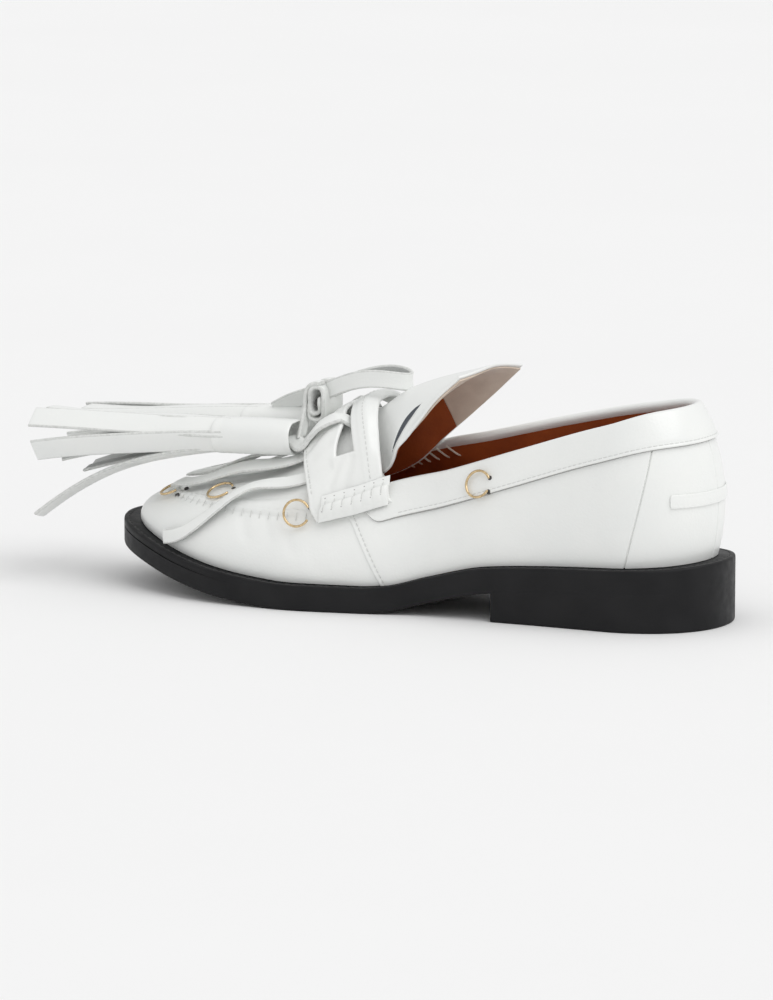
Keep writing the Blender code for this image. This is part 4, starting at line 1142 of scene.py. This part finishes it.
def make_collar_band():
    """A band round the collar, folded over its top edge."""
    last = float(turn_of(1, 0.548))
    turns = np.linspace(-last, last, 420)[:, None]
    height = wall_point(turns, 1.0)[..., 2] - welt_top(feather(turns)[..., 0]) - GAP
    depth = band_depth(turns) / height
    low = shares(22, BAND_DEPTH, 0.9 * MM)
    low = low[low < 0.93]
    rises = 1 - depth * (1 - low[None] / low[-1])
    points, normals = wall_point(turns, rises), wall_normal(turns, rises)
    thin = 1 - 0.8 * smooth((along_of(turns) - 0.53) / 0.018)
    lift = (GAP + BAND_THICK) * thin * rounded(low * BAND_DEPTH, 0.4 * MM)[None]
    lift = lift - 0.22 * MM * thin * bump(low[None] * BAND_DEPTH - BAND_STITCH_LINE, 0.45 * MM)
    outer = points + normals * lift[..., None]
    top, normal = points[:, -1], normals[:, -1]
    climb = unit(points[:, -1] - points[:, -4])
    outside = lift[:, -1:]
    radius = (outside + WALL + 0.15 * MM) / 2
    roll = []
    for angle in np.linspace(0, PI, 14)[1:]:
        swing = normal * math.cos(angle) + climb * math.sin(angle)
        roll.append(top + normal * (outside - radius) + swing * radius)
    inside = roll[-1]
    for down, out in BAND_HEM:
        roll.append(inside - climb * down * MM + normal * out * MM)
    build = Build()
    points = np.concatenate([outer, np.stack(roll, 1)], 1)
    # The band's lower edge takes darker grey: partly the cut edge's colour, partly painted seam shade.
    marks = np.zeros((points.shape[0] - 1, points.shape[1] - 1), int)
    marks[:, :2] = 1
    build.grid(points, finish=marks)
    build.make("collar_binding", ["white", "seam"], ["collar_band"])
    sewn = slice(18, -18)
    turn = turns[sewn, 0]
    line_rise = 1 - depth[sewn, 0] * (1 - BAND_STITCH_LINE / BAND_DEPTH)
    normal = wall_normal(turn, line_rise)
    line = wall_point(turn, line_rise) + normal * ((GAP + BAND_THICK) * thin[sewn] - 0.2 * MM)
    build = Build()
    stitches(build, line, normal, *COLLAR_STITCH)
    build.make("collar_stitches", ["white_thread"])


def rise_at(turn, height):
    """The wall's rise at a height above the floor, by halving."""
    turn, height = floats(turn, height)
    low, high = np.zeros(turn.shape), np.ones(turn.shape)
    for _ in range(22):
        middle = (low + high) / 2
        under = wall_point(turn, middle)[..., 2] < height
        low, high = np.where(under, middle, low), np.where(under, high, middle)
    return low


def make_heel_strip():
    last = float(turn_of(1, HEEL_STRIP_END))
    length = 2 * last * HEEL_RADIAN
    steps = shares(60, length, 0.8 * MM)
    turns = (-last + 2 * last * steps)[:, None]
    low, high = HEEL_STRIP_HEIGHTS
    heights = low + (high - low) * shares(14, 6.5 * MM, 0.8 * MM)
    ends = np.abs(2 * steps - 1)[:, None]
    middle = np.mean(HEEL_STRIP_HEIGHTS)
    pinch = rounded((1 - ends) * length / 2, 0.9 * MM)
    level = middle + (heights[None] - middle) * (0.35 + 0.65 * pinch)
    rises = rise_at(turns, level)
    base, normal = wall_point(turns, rises), wall_normal(turns, rises)
    puff = (0.65 + 0.1 * bump((heights[None] - middle), 2.0 * MM)) * MM
    build = Build()
    slab(build, base + normal * 0.1 * MM, normal, puff + 0 * ends)
    for height in (low + 0.9 * MM, high - 0.9 * MM):
        turn = np.linspace(-last * 0.93, last * 0.93, 120)
        rise = rise_at(turn, height)
        up = wall_normal(turn, rise)
        stitches(build, wall_point(turn, rise) + up * 0.68 * MM, up, *TAB_STITCH)
    build.make("heel_tab", ["white"], ["heel_strip"])


# Tongue
def tongue_point(row, across):
    row, across = floats(row, across)
    half = np.where(across > 0, TONGUE.mm("outer_half", row), TONGUE.mm("inner_half", row))
    y = TONGUE_CENTRE + half * across
    edge_x = SOLE_BACK + TONGUE.mm("edge_from_back", row) + TONGUE.mm("skew", row) * across
    edge = vec(edge_x, y, TONGUE.mm("edge_height", row))
    middle = vec(SOLE_BACK + TONGUE.mm("mid_from_back", row), y, TONGUE.mm("mid_height", row))
    return middle + (edge - middle) * (across**2)[..., None]


def tongue_grid(rows, across):
    """The tongue's outer face, with a fold beside its outer edge."""
    points = tongue_point(rows[:, None], across[None])
    normals = grid_normals(points)
    normals = normals * (1 if normals[..., 2].mean() > 0 else -1)
    apart = across[None] - FOLD.raw("across", rows)[:, None]
    inside = np.maximum(0.0, 1 - (apart / FOLD.raw("half", rows)[:, None]) ** 2)
    inside = inside * ((rows > FOLD.keys[0]) & (rows < FOLD.keys[-1]))[:, None]
    beside = bump(apart - 0.16, 0.07) * bump(rows[:, None] - 3.2, 0.6)
    rise = 0.9 * MM * beside - FOLD_DEPTH * inside
    return points + normals * rise[..., None], normals


def fold_shadow(build):
    """The face inside the tongue's fold: a sheet that is painted dark as shade."""
    rows = np.linspace(FOLD.keys[0], FOLD.keys[-1], 60)[:, None]
    share = np.linspace(-0.8, 0.8, 13)[None]
    across = FOLD.raw("across", rows) + FOLD.raw("half", rows) * share
    step = 0.02
    down = tongue_point(rows + step, across) - tongue_point(rows - step, across)
    over = tongue_point(rows, across + step) - tongue_point(rows, across - step)
    normals = unit(np.cross(down, over))
    normals = normals * np.sign(normals[..., 2:])
    lift = 0.14 * MM - FOLD_DEPTH * (1 - share**2)
    build.grid(tongue_point(rows, across) + normals * lift[..., None], finish=1)


def make_tongue():
    rows = shares(150, 90 * MM, 1.0 * MM) * 6
    across = 1 - 2 * shares(130, 45 * MM, 1.0 * MM)
    points, normals = tongue_grid(rows, across)
    build = Build()
    slab(build, points - normals * TONGUE_THICK, normals, TONGUE_THICK)
    # A sheet inside the fold, painted blue-black: painted shade.
    fold_shadow(build)
    build.make("tongue_leather", ["white", "fold"], ["tongue"])
    linings = (
        ("tongue_lining", "brown", 0.0, TONGUE_NUDE_ROW),
        ("tongue_top_lining", "nude", TONGUE_NUDE_ROW, TONGUE_LINING_END),
    )
    for name, finish, first, last in linings:
        rows = first + (last - first) * shares(50, 40 * MM, 0.5 * MM)
        across = 0.955 - 1.94 * shares(100, 45 * MM, 0.6 * MM)
        points, normals = tongue_grid(rows, across)
        build = Build()
        slab(build, points - normals * TONGUE_LINING_DROP, normals, TONGUE_LINING_THICK)
        build.make(name, [finish], ["tongue"])


# Strap
def strap_edge(edge, across):
    return edge[0] + (edge[1] - edge[0]) * np.abs(across) ** 1.5


def strap_place(row_share, across):
    back, front = strap_edge(STRAP_BACK, across), strap_edge(STRAP_FRONT, across)
    rise = 2 - np.abs(across) * (2 - STRAP_END_RISE)
    return side_of(across), back + (front - back) * row_share, rise


def strap_lift(across):
    return STRAP_LIFT_MIDDLE + (STRAP_LIFT_END - STRAP_LIFT_MIDDLE) * np.minimum(1.0, np.abs(across) ** 3)


def strap_point(row_share, across, lift=0.0):
    return lifted(*strap_place(row_share, across), strap_lift(across) + lift)


def slot_edges(across):
    """The slot's two edges, which open into a wedge towards its ends."""
    wedge = smooth((np.abs(across) - WEDGE_START) / (SLOT_END - WEDGE_START)) * SLOT_WEDGE
    return SLOT_ROWS[0] + 0 * wedge, SLOT_ROWS[1] + wedge


def strap_creases(rows, across):
    """How far the strap's face sinks in its creases."""
    place = np.stack([rows * STRAP_WIDTH, across * STRAP_HALF_LENGTH], -1)
    sink = np.zeros(rows.shape)
    for row, start, last_row, end, width, depth in STRAP_CREASES:
        first = np.array([row * STRAP_WIDTH, start * STRAP_HALF_LENGTH])
        run = np.array([last_row * STRAP_WIDTH, end * STRAP_HALF_LENGTH]) - first
        share = np.clip(((place - first) @ run) / (run @ run), 0.0, 1.0)
        apart = np.linalg.norm(place - first - share[..., None] * run, axis=-1)
        sink += depth * MM * bump(apart, width * MM) * smooth(4 * share + 0.3) * smooth(4.3 - 4 * share)
    return sink


def make_strap():
    inside = np.linspace(-SLOT_END, SLOT_END, 61)
    outside = SLOT_END + (1 - SLOT_END) * shares(56, 30 * MM, 1.0 * MM)
    across = np.concatenate([outside[::-1], inside[::-1][1:-1], -outside])
    first, second = (np.array(e) for e in slot_edges(across))
    rear = shares(16, 11 * MM, 1.0 * MM)
    inner = np.linspace(0, 1, 7)[1:-1]
    front = shares(16, 11 * MM, 1.0 * MM)
    rows = np.concatenate(
        [
            first[None] * rear[:, None],
            first[None] + (second - first)[None] * inner[:, None],
            second[None] + (1 - second)[None] * front[:, None],
        ]
    )
    wide = np.broadcast_to(across[None], rows.shape)
    droop = 2.2 * MM * (1 - smooth(rows / 0.14)) * smooth((0.8 - np.abs(wide)) / 0.3)
    base, normal = strap_point(rows, wide, -droop), skin_normal(*strap_place(rows, wide))
    in_slot = np.abs(across) <= SLOT_END + 1e-9
    cells = np.zeros((len(rows) - 1, len(across) - 1), bool)
    cells[len(rear) - 1 : len(rear) + len(inner), :] = (in_slot[:-1] & in_slot[1:])[None]
    to_slot = np.maximum(first[None] - rows, rows - second[None]) * STRAP_WIDTH
    to_slot = np.maximum(to_slot, (np.abs(wide) - SLOT_END) * STRAP_HALF_LENGTH)
    distance = np.minimum(edge_distance(base), np.maximum(to_slot, 0.0))
    rail = 0.25 * MM * smooth((0.27 - rows) / 0.05) * smooth((0.9 - np.abs(wide)) / 0.15)
    groove = 0.2 * MM * bump((rows - 0.94) * STRAP_WIDTH, 0.45 * MM)
    groove = groove + strap_creases(rows, wide)
    build = Build()
    slab(build, base, normal, STRAP_THICK + rail - groove, distance, skip=cells)
    build.make("saddle_strap_leather", ["white"], ["saddle_strap"])
    build = Build()
    line_across = np.linspace(0.78, -0.78, 220)
    for row, raised in ((0.16, 0.2 * MM), (0.94, -0.2 * MM)):
        rows = np.full_like(line_across, row)
        line = strap_point(rows, line_across, STRAP_THICK + raised)
        stitches(build, line, skin_normal(*strap_place(rows, line_across)), *SEAM_STITCH)
    build.make("strap_stitches", ["white_thread"])


def roll_place(side, share, across):
    along = STRAP_BACK[1] + (STRAP_FRONT[1] - STRAP_BACK[1]) * (ROLL_INSET + (1 - 2 * ROLL_INSET) * share)
    return side + 0 * along, along, ROLL_RISES[0] + (ROLL_RISES[1] - ROLL_RISES[0]) * across


def roll_base(place):
    across = (2 - place[2]) / (2 - STRAP_END_RISE)
    spare = np.maximum(0.0, (STRAP_LIFT_MIDDLE - STRAP_LIFT_END) * (1 - np.minimum(1.0, across**3)))
    return STRAP_LIFT_END + STRAP_THICK + GAP * 0.3 + spare


def roll_height(share, across):
    fullness = (1 - np.abs(2 * share - 1) ** 6) ** 0.5
    swell = (0.3 + 0.7 * fullness) * np.sin(PI * np.clip(0.02 + 0.96 * across, 0, 1)) ** 0.7
    pinch = sum(bump(share - s, 0.028) for s in STITCH_SHARES)
    return ROLL_HEIGHT * swell * (1 - 0.07 * pinch)


def make_roll(name, side):
    share = np.linspace(0, 1, 120)[:, None]
    across = shares(34, 14 * MM, 1.0 * MM)[None]
    place = floats(*roll_place(side, share, across))
    base, normal = lifted(*place, roll_base(place)), skin_normal(*place)
    top = base + normal * (roll_height(share, across) + 1e-6)[..., None]
    build = Build()
    build.grid(base)
    build.grid(top)
    for end in (0, -1):
        build.grid(np.stack([base[end], top[end]]))
    roll = build.make(f"{name}_leather", ["white"], [name])
    threads, holes = Build(), Build()
    t = np.linspace(0.42, 0.93, 15)
    for s in STITCH_SHARES:
        place = floats(*roll_place(side, np.full_like(t, s), t))
        lift = roll_base(place) + roll_height(s, t) + 0.12 * MM
        lift[[0, -1]] -= 0.6 * MM
        tube(threads, lifted(*place, lift), 0.18 * MM, 7)
        # Pits at both ends of each stitch, painted grey: painted shade of the needle holes.
        for end in (0.40, 0.95):
            place = floats(*roll_place(side, np.array([s + 0.012]), end))
            lift = roll_base(place) + roll_height(s, end) + 0.02 * MM
            pit(holes, lifted(*place, lift)[0], skin_normal(*place)[0], 0.34 * MM)
    threads.make(f"{name}_stitches", ["white_thread"])
    holes.make(f"{name}_holes", ["pinhole"])


# Tassels
def cap_frame(side):
    back, offset, height = (TASSEL.mm(name, side) for name in ("from_back", "offset", "height"))
    start = np.array([SOLE_BACK + back, side * offset, height])
    yaw = math.radians(TASSEL.raw("yaw", side)) * side
    forward = unit(np.array([math.cos(yaw), math.sin(yaw), TASSEL.mm("tail_rise", side) / CAP_LENGTH]))
    sideways = unit(np.cross(np.array([0, 0, 1.0]), forward)) * side
    return start, forward, sideways, unit(np.cross(forward, sideways)) * side


def strip_path(side, index, shares_along):
    start, forward, sideways, upward = cap_frame(side)
    turn = math.radians(STRIPS.raw("turn", index))
    radial = sideways * math.cos(turn) * CAP_HALF_WIDTH + upward * math.sin(turn) * CAP_HALF_HEIGHT
    across = unit(upward * math.cos(turn) * CAP_HALF_HEIGHT - sideways * math.sin(turn) * CAP_HALF_WIDTH)
    root = start + forward * (CAP_LENGTH - STRIP_INSIDE) + radial * 0.8
    length = STRIPS.mm("length", index) + STRIP_INSIDE
    s = shares_along[:, None]
    fan = unit(radial) * STRIPS.mm("spread", index) * s
    drop = np.array([0, 0, -1.0]) * STRIPS.mm("droop", index) * TASSEL.raw("droop_share", side) * s**2.2
    wave = unit(radial) * 0.5 * MM * np.sin(PI * (2.2 * s + 0.7 * index)) * smooth(s * 3)
    path = root + forward * length * s * (1 - 0.04 * s) + fan + drop + wave
    run = heading(path)
    flat = unit(across - run * dot(np.broadcast_to(across, run.shape), run))
    twist = 0.10 * np.sin(1.9 * index + 0.4) * s * side
    up = unit(np.cross(run, flat))
    flat = unit(flat + up * twist)
    up = unit(np.cross(run, flat))
    up = up * np.sign(dot(up, np.broadcast_to(radial, up.shape)))
    return path, flat * STRIPS.mm("width", index) / 2, up


def make_tassel(name, side):
    start, forward, sideways, upward = cap_frame(side)
    overlap = math.radians(68)
    t = np.linspace(0, 1, 72)
    angles = overlap + 2 * PI * t
    spiral = 0.935 + 0.065 * t
    flat, tall = (np.sign(c) * np.abs(c) ** 0.85 for c in (np.cos(angles), np.sin(angles)))
    ring = sideways * flat[:, None] * CAP_HALF_WIDTH + upward * tall[:, None] * CAP_HALF_HEIGHT
    ring = ring * spiral[:, None]
    rows = [start + forward * CAP_LENGTH * share + ring * size for share, size in CAP_PROFILE]
    build = Build()
    build.grid(np.array(rows), loop_columns=True)
    length = np.concatenate([[0, 0.004], np.linspace(0.02, 0.98, 44), [0.996, 1.0]])
    for index in STRIPS.keys:
        path, across, up = strip_path(side, index, length)
        cup = 0.5 * MM * (1 - 0.6 * length)
        # Inner faces take the grey reverse finish, partly painted shade; edges take the greyer cut-edge
        # finish.
        band(build, path, across, up, STRIP_THICK, cup, 1, 2)
    build.make(f"{name}_leather", ["white", "edge", "reverse"], [name])


# Fringe
def fringe_start(across, behind):
    return strap_edge(STRAP_FRONT, across / (2 - STRAP_END_RISE)) - behind


def fringe_path(index, count):
    """A smooth path through the strip's stations, with its half-width vectors and its upward directions."""
    share = np.linspace(0, 1, 10)
    start, end = FRINGE.raw("across_start", index), FRINGE.raw("across_end", index)
    hold = FRINGE.raw("hold", index)
    across = start + (end - start) * smooth((share - hold) / (1 - hold))
    first = fringe_start(start, FRINGE_INSIDE)
    along = first + (FRINGE.raw("along_end", index) - first) * share
    place = side_of(across), along, 2 - np.abs(across)
    up = skin_normal(*place)
    hump = FRINGE.mm("lift", index) * np.sin(PI * np.minimum(0.8, share * 1.1)) ** 2
    lift = FRINGE_CLEAR + FRINGE_THICK * (0.5 + 0.5 * share) + hump
    stations = skin_point(*place) + up * lift[:, None]
    up[1:-1] = up[:-2] + up[1:-1] + up[2:]
    up = unit(up)
    path = splined(stations, count)
    run = heading(path)
    flat = unit(np.cross(splined(up, count), run))
    tall = unit(np.cross(run, flat))
    share = np.linspace(0, 1, count)[:, None]
    free = smooth((share - 0.12) / 0.3) * smooth((1.05 - share) / 0.2)
    path = path + flat * 1.0 * MM * np.sin(5.2 * share + 1.7 * index) * free
    path = relaxed(path, 40)
    run = heading(path)
    twist = FRINGE_TWIST * np.sin(4.1 * share + 2.3 * index) * free
    flat = unit(flat * np.cos(twist) + tall * np.sin(twist))
    return path, flat * FRINGE.mm("width", index) / 2, unit(np.cross(run, flat))


def make_fringe():
    build = Build()
    behind = np.linspace(*FRINGE_ROOT, 14)[:, None]
    across = (FRINGE_HALF * (1 - 2 * shares(60, 60 * MM, 0.8 * MM)))[None]
    place = floats(side_of(across), fringe_start(across, behind), 2 - np.abs(across))
    slab(build, lifted(*place, FRINGE_CLEAR), skin_normal(*place), FRINGE_THICK)
    for index in FRINGE.keys:
        path, across, up = fringe_path(index, 60)
        # Undersides take the grey reverse finish, partly painted shade; edges take the greyer cut-edge
        # finish.
        band(build, path, across, up, FRINGE_THICK * 0.9, 0.25 * MM, 1, 2)
    build.make("fringe_leather", ["white", "edge", "reverse"], ["kiltie_fringe"])


# Tie
def make_knot():
    """The tie's knot: thong rolled round on itself, standing upright, with an open eye at both ends and a
    dark core inside as painted shade.
    """
    ahead, outer, up = np.eye(3)
    thick = 1.7 * MM
    turn = np.linspace(-1.3 * PI, 2.0 * PI, 190)
    grow = np.interp(turn, (-1.3 * PI, -0.6 * PI, 0.5 * PI, 2.0 * PI), (0.40, 0.52, 1.0, 1.0))
    grow = grow - 0.12 * smooth((turn - 1.6 * PI) / (0.4 * PI))
    flat, tall = (np.sign(c) * np.abs(c) ** 0.75 for c in (np.cos(turn), np.sin(turn)))
    path = KNOT_MIDDLE + ahead * (flat * grow * (KNOT_HALF[0] - thick / 2))[:, None]
    path = path + up * (tall * grow * (KNOT_HALF[2] - thick / 2))[:, None]
    run = heading(path)
    half = KNOT_HALF[1] * (1 - 0.06 * np.cos(3 * turn))
    build = Build()
    band(build, path, outer * half[:, None], unit(np.cross(run, outer)), thick, 0.5 * MM, edge_finish=1)
    # A near-black core inside the eye: painted shade, as in a deep hole.
    core = np.linspace(-1, 1, 9)[:, None] * outer * (KNOT_HALF[1] - 1.6 * MM)
    tube(build, KNOT_MIDDLE + core, np.array([1.0, 1.8, 2, 2, 2, 2, 2, 1.8, 1.0]) * MM, 14, finish=2)
    build.make("tie_knot_leather", ["white", "edge", "hole"], ["tie_knot"])


def make_bow():
    """A standing loop of flat thong behind the knot."""
    angle = np.linspace(0, 2 * PI, 140)
    back = (1 - np.cos(angle)) / 2
    spread = np.sin(angle) * (0.25 + 0.75 * back**0.5)
    height = BOW_HEIGHT + BOW_RISE * np.sin(2.2 * back)
    path = vec(BOW_FRONT - BOW_LENGTH * back, BOW_HALF_WIDTH * spread, height)
    run = heading(path)
    run[0] = run[-1] = unit(run[0] + run[-1])
    tilt = 0.10 * np.sin(angle)[:, None]
    outward_side = unit(np.cross(run, np.array([0, 0, 1.0])))
    tall = unit(np.array([0, 0, 1.0]) + outward_side * tilt)
    build = Build()
    # The loop's inner face takes the grey reverse finish: partly the leather's back, partly painted shade.
    band(build, path, tall * BOW_BAND / 2, unit(np.cross(run, tall)), BOW_THICK, -0.35 * MM, 1, 2)
    build.make("bow_loop_leather", ["white", "edge", "reverse"], ["bow_loop"])


def make_thong(name, side):
    """The flat thong from the knot down to a tassel's cap, and its length that comes out of the slot."""
    start, forward, _, _ = cap_frame(side)
    clear = GAP + THONG_THICK / 2
    place = np.linspace(0, THONG.keys[-1], 40)
    flat = np.stack([THONG.raw("ahead", place), THONG.raw("above", place)], -1)
    away = unit(flat) * clear
    over = flat * np.array([KNOT_HALF[0], KNOT_HALF[2]]) + away
    path = KNOT_MIDDLE + vec(over[:, 0], side * THONG_APART, over[:, 1])
    end = start - forward * clear
    tail = path[-1] + (end - path[-1]) * np.linspace(0, 1, 16)[1:, None]
    path = relaxed(np.concatenate([path, tail]), 6)
    run = heading(path)
    across = np.broadcast_to(np.array([0, THONG_WIDTH / 2, 0]), path.shape)
    up = unit(vec(-run[:, 2], 0, run[:, 0]))
    build = Build()
    band(build, path, across, up, THONG_THICK, 0.3 * MM, edge_finish=1)
    if side < 0:
        path = splined(np.array(SLOPE) * MM + np.array([SOLE_BACK, 0, 0]), 40)
        run = heading(path)
        tall = np.array([0, 0.5, 0.87]) * np.linspace(4.5, 3.5, 40)[:, None] * MM
        band(build, path, tall, unit(np.cross(run, tall)), THONG_THICK * 0.8, 0.3 * MM, edge_finish=1)
    rows = THROUGH.keys
    places, lifts = THROUGH.raw("across", rows) * side, THROUGH.mm("lift", rows)
    stations = np.concatenate([strap_point(rows, places, lifts), [start + forward * 3 * MM]])
    ups = np.concatenate([skin_normal(*strap_place(rows, places)), [np.array([0.3, 0, 1.0])]])
    path = splined(stations, 60)
    run = heading(path)
    across = unit(np.cross(splined(ups, 60), run)) * THONG_WIDTH / 2
    band(build, path, across, unit(np.cross(run, across)), THONG_THICK * 0.8, 0.4 * MM, edge_finish=1)
    build.make(f"{name}_leather", ["white", "edge"], [name])


# Rings
def ring_frame(index):
    along, rise = RINGS.raw("along", index), RINGS.raw("rise", index)
    normal = skin_normal(1, along, rise)
    hinge = lifted(1, along, rise, RINGS.mm("lift", index))
    upright = unit(skin_point(1, along, rise + 0.05) - skin_point(1, along, rise - 0.05))
    upright = unit(upright - normal * dot(upright, normal))
    lying = unit(np.cross(upright, normal))
    return hinge, upright, lying * (-1 if lying[0] < 0 else 1), normal


def make_ring(index):
    name, body = RING_PIECES[index]
    hinge, upright, lying, _ = ring_frame(index)
    half_open = math.radians(RING_OPEN_DEG / 2)
    centre = hinge + lying * RING_RADIUS * math.cos(half_open)
    angle = np.linspace(half_open, 2 * PI - half_open, 90)[:, None]
    path = centre - lying * np.cos(angle) * RING_RADIUS + upright * np.sin(angle) * RING_RADIUS
    build = Build()
    tube(build, path, RING_WIRE, 16)
    build.make(f"{name}_wire", ["gold"], [name], body)


def make_holes():
    build = Build()
    for index in range(len(RING_PIECES)):
        hinge, upright, _, normal = ring_frame(index)
        reach = RING_RADIUS * math.sin(math.radians(RING_OPEN_DEG / 2))
        depth = RINGS.mm("lift", index) - (BAND_THICK + GAP if index == 0 else 0.0)
        # Pits at both ends of each ring's opening, painted near-black: painted shade of the holes it passes
        # through.
        for sign in (-1, 1):
            pit(build, hinge + upright * sign * reach - normal * depth, normal, 1.0 * MM)
    build.make("ring_holes", ["hole"])


# Stage
def make_stage():
    build = Build()
    steps = np.linspace(-FLOOR_HALF, FLOOR_HALF, 13)
    build.grid(vec(steps[:, None], steps[None], 0.0))
    mesh = build.mesh("floor")
    mesh.materials.append(floor_finish())
    floor = placed("floor", mesh)


def direction_of(azimuth, elevation):
    a, e = math.radians(azimuth), math.radians(elevation)
    return Vector((math.sin(a) * math.cos(e), -math.cos(a) * math.cos(e), math.sin(e)))


def make_light():
    world = bpy.data.worlds.new("studio")
    bpy.context.scene.world = world
    world.use_nodes = True
    sky = world.node_tree.nodes["Background"]
    sky.inputs["Color"].default_value = (1.0, 1.0, 1.0, 1.0)
    sky.inputs["Strength"].default_value = SKY_STRENGTH
    lamp = bpy.data.lights.new("key", "SUN")
    lamp.energy = SUN_STRENGTH
    lamp.angle = math.radians(SUN_WIDTH_DEG)
    key = placed("key", lamp)
    towards = direction_of(VIEW_AZIMUTH + SUN_TURN_DEG, SUN_ELEVATION)
    key.rotation_euler = towards.to_track_quat("Z", "Y").to_euler()
    bpy.context.scene.view_settings.view_transform = "Standard"


def make_camera():
    back = direction_of(VIEW_AZIMUTH, VIEW_ELEVATION)
    right = Vector((0, 0, 1)).cross(back).normalized()
    up = back.cross(right).normalized()
    aim = Vector(VIEW_MIDDLE) - right * VIEW_LEFT + up * VIEW_UP
    lens = bpy.data.cameras.new("camera")
    lens.sensor_fit = "VERTICAL"
    lens.sensor_height = 24
    lens.lens = lens.sensor_height * VIEW_DISTANCE / VIEW_HEIGHT
    lens.clip_end = 100
    camera = placed("camera", lens)
    camera.location = aim + back * VIEW_DISTANCE
    camera.rotation_euler = back.to_track_quat("Z", "Y").to_euler()
    bpy.context.scene.camera = camera


make_camera()
make_light()
make_stage()
make_outsole()
make_heel()
make_welt()
make_insole()
make_wall()
make_apron()
make_lining()
make_collar_band()
make_heel_strip()
make_tongue()
make_strap()
make_roll("strap_roll_outer", 1)
make_roll("strap_roll_inner", -1)
make_fringe()
make_knot()
make_bow()
for tie, sign in (("outer", 1), ("inner", -1)):
    make_thong(f"tie_thong_{tie}", sign)
    make_tassel(f"tassel_{tie}", sign)
for number in range(len(RING_PIECES)):
    make_ring(number)
make_holes()
